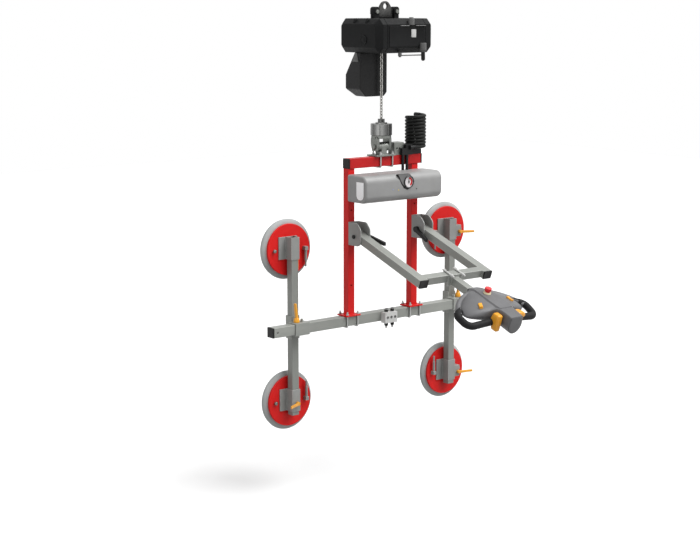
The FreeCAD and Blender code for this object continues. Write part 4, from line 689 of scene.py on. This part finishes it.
def makeShellRim():
    own = rimSettings
    centre = along(0, own["centre"], own["rise"])
    start = math.radians(own["from"])
    outward = Vector((math.cos(start), math.sin(start), 0)) * own["radius"] * millimetre
    rim = disc("shellRim", own["sides"], own["tube"] * millimetre, start, centre + outward)
    bpy.ops.mesh.spin(steps=own["steps"], angle=-math.radians(own["sweep"]), center=centre, axis=(0, 0, 1))
    faceOut()
    droop(rim, own["droop"])
    onArms(rim)
    done(rim, "controlGrey", "arms", 40)


# raised middle of the shell, from the tube to the nose: run, half width, top
spineSettings = {"base": 20, "start": 2, "topShare": 0.74, "round": 7,
                 "sections": [(640, 27, 23), (668, 36, 32), (700, 46, 37), (740, 54, 40), (790, 58, 41),
                              (840, 56, 40.5), (869, 50, 39.5)]}


def makeShellSpine():
    own = spineSettings
    base = own["base"]
    before = run, half, top = own["sections"][0]
    low = along(controlX - half, run + own["start"], base)
    spine = block("shellSpine", low, along(controlX + half, run, top))
    edge = low.y
    for section in own["sections"][1:]:
        run, half, top = section
        pick(spine, "face", lambda place, way: way.y < -0.9 and near(place.y, edge))
        extrude((0, -run * millimetre - edge, 0))
        resize((half / before[1], 1, (top - base) / (before[2] - base)), along(controlX, run, base))
        before, edge = section, -run * millimetre
    pick(spine, "vert", lambda place, way: place.z > (base + 1) * millimetre)  # all above the base
    resize((own["topShare"], 1, 1), along(controlX, 0, 0))
    roundEdges(spine, own["round"], 5, 50)
    onArms(spine)
    done(spine, "controlGrey", "arms", 40)


# thumb rockers with a dip in the middle
rockerSettings = {"out": 98, "run": {"left": 806, "right": 788}, "halfWide": 9, "half": 18, "low": 8, "top": 33,
                  "dip": 3, "lean": 13, "yaw": {"left": 30, "right": 0}, "round": 2.4}


def makeRocker(name, side):
    own = rockerSettings
    middle, run = controlX + side * own["out"], own["run"][name]
    rocker = block(name + "Rocker", along(middle - own["halfWide"], run + own["half"], own["low"]),
                   along(middle + own["halfWide"], run - own["half"], own["top"]))
    pick(rocker, "face", everything)
    ridge = along(0, run, own["top"])
    bpy.ops.mesh.bisect(plane_co=ridge, plane_no=(0, 1, 0))
    pick(rocker, "vert", lambda place, way: near(place.z, ridge.z) and near(place.y, ridge.y))
    move(toFloor * own["dip"] * millimetre)
    pick(rocker, "face", everything)
    foot = along(middle, run, own["low"])
    bpy.ops.transform.rotate(value=math.radians(-side * own["lean"]), orient_axis="Y", center_override=foot)
    bpy.ops.transform.rotate(value=math.radians(own["yaw"][name]), orient_axis="Z", center_override=foot)
    roundEdges(rocker, own["round"], 3, 20)
    onArms(rocker)
    done(rocker, "orangePlastic", f"{name}_rocker")
    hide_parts(f"{name}_rocker")


# orange triggers hooking over the grips beside the nose
triggerSettings = {"inner": 50, "outer": 86, "back": 866, "middle": 900, "front": 914, "low": -6, "top": 24,
                   "toeBack": 886, "toeLow": -58, "toeShare": 0.74, "topShare": 0.84,
                   "wing": {"left": 0, "right": 22}, "wingRise": 6, "wingShare": 0.55, "round": 8}


def makeTrigger(name, side):
    own = triggerSettings
    inner, outer = controlX + side * own["inner"], controlX + side * own["outer"]
    trigger = block(name + "Trigger", along(min(inner, outer), own["front"], own["low"]),
                    along(max(inner, outer), own["back"], own["top"]))
    pick(trigger, "face", facing(toFloor))
    extrude(along(0, (own["toeBack"] - own["back"]) / 2, own["toeLow"] - own["low"]))
    toe = along((inner + outer) / 2, own["middle"], own["toeLow"])
    resize((own["toeShare"], own["toeShare"], 1), toe)
    top = along(inner, own["middle"], own["top"])
    pick(trigger, "face", lambda place, way: near(place.z, top.z))
    resize((own["topShare"], own["topShare"], 1), top)
    wing = own["wing"][name]
    if wing:
        pick(trigger, "face", lambda place, way: way.x * side > 0.8 and place.z > own["low"] * millimetre)
        extrude(along(side * wing, 0, 0))
        tip = along(outer + side * wing, own["middle"], own["low"] + own["wingRise"])
        resize((1, own["wingShare"], own["wingShare"]), tip)
    roundEdges(trigger, own["round"], 5, 25)
    onArms(trigger)
    done(trigger, "orangePlastic", f"{name}_trigger")
    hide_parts(f"{name}_trigger")


# cream collar under the emergency stop
collarSettings = {"run": 731, "low": 30, "top": 48.6, "radius": 20, "topShare": 0.86, "rim": 3, "deep": 2, "round": 1}


def makeStopCollar():
    own = collarSettings
    top = along(controlX, own["run"], own["top"])
    collar = rod("stopCollar", along(controlX, own["run"], own["low"]), top, own["radius"])
    taper(collar, toTop, (own["topShare"], own["topShare"], 1), top)
    sink(collar, toTop, own["rim"], own["deep"])
    roundEdges(collar, own["round"], 2)
    onArms(collar)
    done(collar, "creamCollar", "arms")


# black plugs in the ends of the arms
plugSettings = {"middles": (-195, 219), "halfWide": 25.5, "halfTall": 20.5, "back": 511, "front": 520, "rim": 5,
                "deep": 1.5, "round": 2}


def makeArmPlugs():
    own = plugSettings
    first, last = own["middles"]
    plug = block("armPlug", along(first - own["halfWide"], own["front"], -own["halfTall"]),
                 along(first + own["halfWide"], own["back"], own["halfTall"]))
    sink(plug, toFront, own["rim"], own["deep"])
    plugs = fuse("armPlugs", [plug, repeat(plug, last - first)])
    roundEdges(plugs, own["round"])
    onArms(plugs)
    done(plugs, "blackPlastic", "arms")


# long bolts that clamp the control tube to the cross tube
clampSettings = {"apart": 35, "rise": 25, "back": 446, "front": 534, "radius": 4.5, "nut": 9, "nutLong": 8,
                 "nuts": (455, 512), "round": 1}


def makeTubeClamp():
    own = clampSettings
    x, rise = controlX - own["apart"], own["rise"]
    parts = [rod("clampBolt", along(x, own["back"], rise), along(x, own["front"], rise), own["radius"], 16)]
    for run in own["nuts"]:
        parts.append(rod("clampNut", along(x, run, rise), along(x, run + own["nutLong"], rise), own["nut"], 6))
    bolt = fuse("clampBolt", parts)
    clamp = fuse("tubeClamp", [bolt, repeat(bolt, 2 * own["apart"])])
    roundEdges(clamp, own["round"], 2)
    onArms(clamp)
    done(clamp, "plateSilver", "arms")


makeControlShell()
makeShellRim()
makeShellSpine()
for name, side in (("left", -1), ("right", 1)):
    makeTrigger(name, side)
    makeRocker(name, side)
makeStopCollar()
makeArmPlugs()
makeTubeClamp()
print("control unit made")


# vacuum unit: rounded cover, back plate, blank label
unitSettings = {"left": -233, "right": 265, "front": -166, "back": -24, "low": 604, "high": 739, "bend": 38, "edge": 11,
                "plateInset": 8, "plateBack": -20, "plateCorner": 8, "plateRound": 0.8,
                "labelY": (-147, -92), "labelZ": (621, 709), "labelThick": 0.7, "labelSunk": 0.3, "labelFoot": 24,
                "labelRound": 0.2}


def makeUnitCover():
    own = unitSettings
    low = spot(own["left"], own["front"], own["low"])
    high = spot(own["right"], own["back"], own["high"])
    cover = block("unitCover", low, high)
    pick(cover, "edge", lambda place, way: abs(way.x) > 0.9 and near(place.y, low.y))
    bevel(own["bend"], 10)
    pick(cover, "edge", lambda place, way:
         (near(place.x, low.x) or near(place.x, high.x)) and not near(place.y, high.y))
    bevel(own["edge"], 5)
    done(cover, "unitGrey", "frame", 50)
    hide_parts("unit_cover")


def makeBackPlate():
    own = unitSettings
    rim = own["plateInset"]
    plate = block("unitBackPlate", spot(own["left"] + rim, own["back"], own["low"] + rim),
                  spot(own["right"] - rim, own["plateBack"], own["high"] - rim))
    pick(plate, "edge", running("y"))
    bevel(own["plateCorner"], 10)
    roundEdges(plate, own["plateRound"], 2)
    done(plate, "zincSteel", "frame")
    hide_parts("unit_back_plate")


def makeSideLabel():  # with a round foot, on the left end
    own = unitSettings
    foot = spot(own["left"] - own["labelThick"], own["labelY"][0], own["labelZ"][0])
    label = block("sideLabel", foot, spot(own["left"] + own["labelSunk"], own["labelY"][1], own["labelZ"][1]))
    pick(label, "edge", lambda place, way: abs(way.x) > 0.9 and near(place.z, foot.z))
    bevel(own["labelFoot"], 10)
    roundEdges(label, own["labelRound"], 2)
    done(label, "labelWhite", "frame")


# gauge: pale dial with ticks and a red zone, a black plate round it that is a painted shadow of the recess wall, and a
# darker grey panel behind it that is painted shade of the recess floor
gaugeSettings = {"x": 41, "z": 697, "face": -166, "dial": 26.6, "dialThick": 0.6, "dialRim": 0.8, "dialDeep": 0.2,
                 "marksOut": 0.55, "ticks": 13, "tickIn": 19.5, "tickOut": 24.5, "tickHalf": 0.3, "sweep": 270,
                 "longEvery": 3, "shortTick": 0.62, "tickRound": 0.1,
                 "redIn": 14, "redOut": 24, "redSweep": 142, "redTurn": 10, "redThick": 0.2, "redSliver": 0.1,
                 "recessShadow": ((-30, 737), (-9, 691), (9, 667), (32, 657), (59, 669), (70, 693), (65, 715), (50, 734)),
                 "panel": ((-27, 737), (-1, 691), (16, 674), (50, 684), (50, 734)),
                 "recessShadowFront": -166.15, "panelFront": -166.28, "shieldBack": -150, "corner": 5, "round": 0.1}
gaugeMiddle = spot(gaugeSettings["x"], gaugeSettings["face"], gaugeSettings["z"])


def makeShield(name, outline, front, finishName):  # a block cut to an outline of (x, z) corners
    own = gaugeSettings
    acrossX, acrossZ = zip(*outline)
    plate = block(name, spot(min(acrossX), front, min(acrossZ)), spot(max(acrossX), own["shieldBack"], max(acrossZ)))
    for first, last in zip(outline, outline[1:]):
        outward = Vector((last[1] - first[1], 0, first[0] - last[0])).normalized()
        pick(plate, "face", everything)
        bpy.ops.mesh.bisect(plane_co=spot(first[0], 0, first[1]), plane_no=outward, use_fill=True, clear_outer=True)
    pick(plate, "edge", running("y"))
    bevel(own["corner"], 4)
    roundEdges(plate, own["round"], 1)
    done(plate, finishName, "frame")


def makeGaugeDial():
    own = gaugeSettings
    dial = rod("gaugeDial", gaugeMiddle, gaugeMiddle + toFront * own["dialThick"] * millimetre, own["dial"], 64)
    sink(dial, toFront, own["dialRim"], own["dialDeep"])
    done(dial, "dialWhite", "frame")


def makeGaugeTicks():
    own = gaugeSettings
    half, outer = own["tickHalf"] * millimetre, own["tickOut"] * millimetre
    marks = []
    for index in range(own["ticks"]):
        share = 1 if index % own["longEvery"] == 0 else own["shortTick"]
        inner = outer - (own["tickOut"] - own["tickIn"]) * share * millimetre
        tick = block("tick", (-half, -half, inner), (half, half, outer))
        tick.rotation_euler.y = math.radians(own["sweep"] * (index / (own["ticks"] - 1) - 0.5))
        tick.location = gaugeMiddle + toFront * own["marksOut"] * millimetre
        settle(tick)
        marks.append(tick)
    ticks = fuse("gaugeTicks", marks)
    roundEdges(ticks, own["tickRound"], 1)
    done(ticks, "blackPlastic", "frame")


def makeRedZone():  # a sliver turned round the dial's middle
    own = gaugeSettings
    clear()
    bpy.ops.mesh.primitive_plane_add(size=1)
    zone = bpy.context.object
    zone.name = "gaugeRedZone"
    zone.scale = (own["redSliver"] * millimetre, (own["redOut"] - own["redIn"]) * millimetre, 1)
    zone.location.y = (own["redOut"] + own["redIn"]) / 2 * millimetre
    settle(zone)
    pick(zone, "edge", lambda place, way: place.x > 0 and abs(way.y) > 0.9)
    bpy.ops.mesh.spin(steps=24, angle=math.radians(own["redSweep"]), center=(0, 0, 0), axis=(0, 0, 1))
    bpy.ops.mesh.select_all(action="SELECT")
    bpy.ops.mesh.remove_doubles(threshold=0.000005)
    faceOut()
    extrude(toTop * own["redThick"] * millimetre)
    faceOut()
    zone.rotation_euler = (math.pi / 2, math.radians(own["redTurn"]), 0)
    zone.location = gaugeMiddle + toFront * own["marksOut"] * millimetre
    settle(zone)
    done(zone, "needleRed", "frame")


# small lamps and a button on the front of the unit: finish, x, z, radius
lampSettings = {"front": -166, "tall": 1.6, "sunk": 1, "round": 1.1,
                "lamps": (("yellowLamp", -25.7, 660.5, 2.6), ("blueLamp", -61, 665, 2.4),
                          ("blackPlastic", 92.4, 659, 3))}


def makeLamps():
    own = lampSettings
    for finishName, x, z, radius in own["lamps"]:
        lamp = rod("unit_" + finishName, spot(x, own["front"] + own["sunk"], z),
                   spot(x, own["front"] - own["tall"], z), radius, 24)
        roundEdges(lamp, own["round"])
        done(lamp, finishName, "frame")


makeUnitCover()
makeBackPlate()
makeSideLabel()
# painted shadow: a black plate cut to the shadow the recess wall casts round the dial
makeShield("gaugeRecessShadow", gaugeSettings["recessShadow"], gaugeSettings["recessShadowFront"], "blackPlastic")
# painted shade: a darker grey plate for the shaded floor of the recess
makeShield("gaugeShadedPanel", gaugeSettings["panel"], gaugeSettings["panelFront"], "edgeGrey")
makeGaugeDial()
makeGaugeTicks()
makeRedZone()
makeLamps()
print("vacuum unit made")


# fittings on the hoist: boss, front panel with a blank plate, lips in lighter grey that paint a highlight along the
# ledge, notches, glands and a thin tie
hoistSettings = {"front": -160, "left": -150, "sunk": 1, "round": 1.2,
                 "boss": (-44, 1395, 23), "bossSunk": 2, "bossProud": 4, "bossRim": 6, "bossDeep": 3, "bossInner": 8,
                 "bossRise": 2, "panel": (-84, 140, 1362, 1462), "panelSunk": 2, "panelProud": 3, "panelRim": 7,
                 "panelDeep": 2.2, "lips": ((-15, 38), (82, 145)), "lipHeights": (1462, 1465.5), "lipProud": 9,
                 "notches": (39.5, -54), "notchX": (-146, -126), "notchZ": (1478, 1499), "notchHalf": 7,
                 "notchShare": (0.6, 0.7, 1), "notchTop": -130,
                 "plate": (56, 86, 1407, 1446), "plateProud": 2.4, "plateCorner": 3, "plateRound": 0.4,
                 "topGland": (56, -160, 1467, 1497, 15), "sideGland": (128, -166, 1343, 1379, 16.5),
                 "stem": (133, -162, 1296, 10), "stemSunk": 4, "stemRim": 3, "stemTip": 4,
                 "stub": (-6, -148, 1316, 1334, 9), "tieHeight": 1320, "tieRadius": 3, "tieRound": 0.8}


def makeHoistFittings():
    own = hoistSettings
    front, left = own["front"], own["left"]
    y, z, radius = own["boss"]
    boss = rod("hoistBoss", spot(left + own["bossSunk"], y, z), spot(left - own["bossProud"], y, z), radius, 48)
    sink(boss, toLeft, own["bossRim"], own["bossDeep"])
    inset(own["bossInner"])
    move(toLeft * own["bossRise"] * millimetre)
    roundEdges(boss, own["round"])
    left, right, low, high = own["panel"]
    panel = block("hoistPanel", spot(left, front - own["panelProud"], low), spot(right, front + own["panelSunk"], high))
    sink(panel, toFront, own["panelRim"], own["panelDeep"])
    roundEdges(panel, own["round"], 2)
    low, high = own["lipHeights"]
    lips = fuse("hoistLips", [block("hoistLip", spot(left, front - own["lipProud"], low),
                                    spot(right, front + own["sunk"], high)) for left, right in own["lips"]])
    roundEdges(lips, own["round"])
    (left, right), (low, high), (first, last) = own["notchX"], own["notchZ"], own["notches"]
    notch = block("notch", spot(left, first - own["notchHalf"], low), spot(right, first + own["notchHalf"], high))
    taper(notch, toTop, own["notchShare"], spot(own["notchTop"], first, high))
    roundEdges(notch, own["round"], 2)
    fittings = fuse("hoistFittings", [panel, notch, repeat(notch, 0, last - first), boss])
    done(fittings, "hoistBlack", "hoist")
    # painted highlight: the lips are lighter grey than the black housing
    done(lips, "edgeGrey", "hoist")
    left, right, low, high = own["plate"]
    plate = block("hoistBlankPlate", spot(left, front - own["plateProud"], low), spot(right, front + own["sunk"], high))
    pick(plate, "edge", running("y"))
    bevel(own["plateCorner"], 3)
    roundEdges(plate, own["plateRound"], 2)
    done(plate, "plateSilver", "hoist")


# nut with grip flats, collar and dome, in shares of its radius
glandSettings = {"sides": 18, "collar": 0.28, "dome": 0.5, "flat": 0.06, "proud": 0.05, "round": 0.7}


def knurledGland(name, foot, head, radius):
    own = glandSettings
    nut = rod(name, foot, head, radius, own["sides"])
    axis = (head - foot).normalized()
    middle = (foot + head) / 2
    pick(nut, "face", facing(axis))
    inset(radius * own["collar"])
    extrude(axis * radius * own["dome"] * millimetre)
    pick(nut, "face", lambda place, way: abs(way.dot(axis)) < 0.1 and (place - middle).dot(axis) < millimetre)
    bpy.ops.mesh.inset(thickness=radius * own["flat"] * millimetre, use_individual=True)
    bpy.ops.transform.shrink_fatten(value=radius * own["proud"] * millimetre)
    roundEdges(nut, own["round"], 2)
    return nut


def makeHoistGlands():
    own = hoistSettings
    x, y, low, high, radius = own["topGland"]
    parts = [knurledGland("topGland", spot(x, y, low), spot(x, y, high), radius)]
    x, y, low, high, radius = own["sideGland"]
    parts.append(knurledGland("sideGland", spot(x, y, high), spot(x, y, low), radius))
    stemX, stemY, stemLow, stemRadius = own["stem"]
    stem = rod("stem", spot(x, y, low + own["stemSunk"]), spot(stemX, stemY, stemLow), stemRadius)
    pick(stem, "face", facing(toFloor))
    inset(own["stemRim"])
    extrude(toFloor * own["stemTip"] * millimetre)
    roundEdges(stem, own["round"])
    done(stem, "blackPlastic", "hoist")
    x, y, low, high, radius = own["stub"]
    parts.append(knurledGland("stub", spot(x, y, high), spot(x, y, low), radius))
    tie = rod("tie", spot(x, y, own["tieHeight"]), spot(stemX, stemY, own["tieHeight"]), own["tieRadius"], 24)
    roundEdges(tie, own["tieRound"], 2)
    done(fuse("hoistGlands", parts + [tie]), "glandGrey", "hoist")


# grey bracket that holds the chain container at its upper left corner
tabSettings = {"left": -127, "right": -118, "front": 30, "back": 78, "low": 1286, "high": 1330, "topShare": 0.3,
               "round": 2}


def makeContainerTab():
    own = tabSettings
    tab = block("containerTab", spot(own["left"], own["front"], own["low"]),
                spot(own["right"], own["back"], own["high"]))
    corner = spot(own["right"], (own["front"] + own["back"]) / 2, own["high"])
    taper(tab, toTop, (own["topShare"], own["topShare"], 1), corner)
    roundEdges(tab, own["round"])
    done(tab, "glandGrey", "hoist")


# narrow eye plate between the ears, and the dark bar with lugs that carries it
eyeSettings = {"x": 20, "half": 40, "topHalf": 15, "thick": 7, "low": 1503, "shoulder": 1549, "top": 1582,
               "corner": 14, "round": 2.2, "holeHeight": 1557, "holeRadius": 15, "drill": 20,
               "barHalf": 77, "barLow": 1497, "barHigh": 1541, "barThick": 6.6, "barRound": 4,
               "lugs": 64, "lugHalf": 16, "lugThick": 17.6, "lugLow": 1518, "lugHigh": 1555, "lugCorner": 14.5,
               "lugRound": 1.4}


def makeEye():
    own = eyeSettings
    x, half, thick = own["x"], own["half"], own["thick"]
    eye = block("hoistEye", spot(x - half, -thick, own["low"]), spot(x + half, thick, own["shoulder"]))
    pick(eye, "face", facing(toTop))
    extrude(toTop * (own["top"] - own["shoulder"]) * millimetre)
    resize((own["topHalf"] / half, 1, 1), spot(x, 0, own["top"]))
    shoulder = spot(0, 0, own["shoulder"] - 1).z
    pick(eye, "edge", lambda place, way: abs(way.y) > 0.9 and place.z > shoulder)
    bevel(own["corner"], 6)
    drill = rod("drill", spot(x, -own["drill"], own["holeHeight"]), spot(x, own["drill"], own["holeHeight"]),
                own["holeRadius"], 48)
    applyModifier(eye, "BOOLEAN", operation="DIFFERENCE", object=drill)
    remove(drill)
    roundEdges(eye, own["round"])
    done(eye, "eyeSteel", "hoist")
    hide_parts("suspension_eye")


def makeEyeBar():
    own = eyeSettings
    bar = block("eyeBar", spot(own["x"] - own["barHalf"], -own["barThick"], own["barLow"]),
                spot(own["x"] + own["barHalf"], own["barThick"], own["barHigh"]))
    roundEdges(bar, own["barRound"])
    x, top = own["x"] - own["lugs"], spot(0, 0, own["lugHigh"]).z
    lug = block("eyeLug", spot(x - own["lugHalf"], -own["lugThick"], own["lugLow"]),
                spot(x + own["lugHalf"], own["lugThick"], own["lugHigh"]))
    pick(lug, "edge", lambda place, way: abs(way.y) > 0.9 and near(place.z, top))
    bevel(own["lugCorner"], 8)
    roundEdges(lug, own["lugRound"], 2, 50)
    done(fuse("eyeLugs", [bar, lug, repeat(lug, 2 * own["lugs"])]), "hoistBlack", "hoist")


makeHoistFittings()
makeHoistGlands()
makeContainerTab()
makeEye()
makeEyeBar()
print("hoist fittings made")


# bolt heads on the red pad plates, modelled at the lower left pad
boltSettings = {"x": 610.5, "z": 381.5, "back": 78, "front": 68, "radius": 9.5, "rim": 2.5, "proud": 1.5, "round": 0.8}


def makePadBolts():
    own = boltSettings
    x, z = own["x"], own["z"]
    bolt = rod("padBolt", spot(-x, own["back"], -z), spot(-x, own["front"], -z), own["radius"], 6)
    sink(bolt, toFront, own["rim"], -own["proud"])
    roundEdges(bolt, own["round"], 2)
    for side, aside in (("left", 0), ("right", 2 * x)):
        for level, above in (("lower", 0), ("upper", 2 * z)):
            copy = repeat(bolt, aside, 0, above)
            copy.name = f"{level}_{side}_padBolt"
            done(copy, "zincSteel", f"{level}_{side}_pad")
    remove(bolt)


# black push-in fittings over the manifold's four stubs, and rings round its ports
fittingSettings = {"x": (2, 42), "y": -42.5, "levels": ((24, 36), (-35, -47)), "radius": 9.6,
                   "ports": (-2, 22, 46), "portHeight": -4, "face": -60, "ring": 7, "ringSunk": 1, "ringProud": 1.5,
                   "ringRim": 2.2, "ringDeep": 2, "ringRound": 0.4}


def makeManifoldFittings():
    own = fittingSettings
    first, last = own["x"]
    parts = []
    for foot, head in own["levels"]:
        fitting = knurledGland("fitting", spot(first, own["y"], foot), spot(first, own["y"], head), own["radius"])
        parts += [fitting, repeat(fitting, last - first)]
    done(fuse("manifoldFittings", parts), "blackPlastic", "frame")
    x, z = own["ports"][0], own["portHeight"]
    ring = rod("portRing", spot(x, own["face"] + own["ringSunk"], z), spot(x, own["face"] - own["ringProud"], z),
               own["ring"], 24)
    pick(ring, "face", facing(toFront))
    inset(own["ringRim"])
    extrude(toFront * -own["ringDeep"] * millimetre)
    rings = fuse("portRings", [ring] + [repeat(ring, port - x) for port in own["ports"][1:]])
    roundEdges(rings, own["ringRound"], 2)
    done(rings, "glandGrey", "frame")


# hubs at the foot of the slider levers
hubSettings = {"x": 535, "low": 32, "high": 52, "radius": 16, "topShare": 0.8, "round": 2}


def makeLeverHubs():
    own = hubSettings
    top = spot(-own["x"], 0, own["high"])
    hub = rod("left_leverHub", spot(-own["x"], 0, own["low"]), top, own["radius"], 32)
    taper(hub, toTop, (own["topShare"], own["topShare"], 1), top)
    roundEdges(hub, own["round"])
    copy = repeat(hub, 2 * own["x"])
    copy.name = "right_leverHub"
    for name, piece in (("left", hub), ("right", copy)):
        done(piece, "orangePlastic", f"{name}_slider_lever")


makePadBolts()
makeManifoldFittings()
makeLeverHubs()
print("bolts, fittings and hubs made")


# studio: pale floor, white behind, soft light mainly from above
studio = {"floorDrop": 0.32, "floorHalf": 14, "floorWhite": 0.80, "floorPatches": 0.02, "floorGrain": 3,
          "floorRough": 0.9, "floorBounce": 0.22, "ambient": 0.26,
          "keyTurn": (24, 22, 0), "keyPower": 4.2, "keySoft": 50,
          "fillTurn": (64, 0, 28), "fillPower": 0.8, "fillSoft": 70,
          "sideTurn": (68, 0, -78), "sidePower": 1.05, "sideSoft": 60}


def backdropRays(tree):  # 1 for rays that show the background: from the camera, glossy or through glass
    rays = addNode(tree, "ShaderNodeLightPath")
    shown = rays.outputs["Is Camera Ray"]
    for kind in ("Is Glossy Ray", "Is Transmission Ray"):
        either = addNode(tree, "ShaderNodeMath", {0: shown, 1: rays.outputs[kind]}, operation="MAXIMUM")
        shown = either.outputs["Value"]
    return shown


def makeFloor():
    clear()
    low = cadBounds[0][2] - studio["floorDrop"]
    bpy.ops.mesh.primitive_plane_add(size=studio["floorHalf"] * 2, location=(0, 0, low))
    floor = bpy.context.object
    floor.name = "floor"
    settle(floor)
    finish, tree, shader, place = newFinish("paleFloor")
    white = studio["floorWhite"]
    tones = [(0.3, (white,) * 3), (0.7, (white + studio["floorPatches"],) * 3)]
    blendColours(tree, grain(tree, place, studio["floorGrain"], 2), tones, shader.inputs["Base Color"])
    shader.inputs["Roughness"].default_value = studio["floorRough"]
    shader.inputs["Specular IOR Level"].default_value = 0
    dim = addNode(tree, "ShaderNodeBsdfDiffuse", {}, {"Color": (studio["floorBounce"],) * 3 + (1,)})
    mix = addNode(tree, "ShaderNodeMixShader",
                  {"Fac": backdropRays(tree), 1: dim.outputs["BSDF"], 2: shader.outputs["BSDF"]})
    tree.links.new(mix.outputs["Shader"], tree.nodes["Material Output"].inputs["Surface"])
    floor.data.materials.append(finish)


def makeLight():
    for name in ("key", "fill", "side"):
        clear()
        bpy.ops.object.light_add(type="SUN", rotation=radians(studio[name + "Turn"]))
        lamp = bpy.context.object
        lamp.name = name
        lamp.data.energy = studio[name + "Power"]
        lamp.data.angle = math.radians(studio[name + "Soft"])
    world = bpy.data.worlds.new("studio")
    bpy.context.scene.world = world
    world.use_nodes = True
    tree = world.node_tree
    backdrop = tree.nodes["Background"]
    level = addNode(tree, "ShaderNodeMapRange", {"Value": backdropRays(tree)},
                    {"To Min": studio["ambient"], "To Max": 1})
    tree.links.new(level.outputs["Result"], backdrop.inputs["Strength"])
    backdrop.inputs["Color"].default_value = (1, 1, 1, 1)


makeFloor()
makeLight()
bpy.context.scene.view_settings.view_transform = "Standard"
print("studio lit")
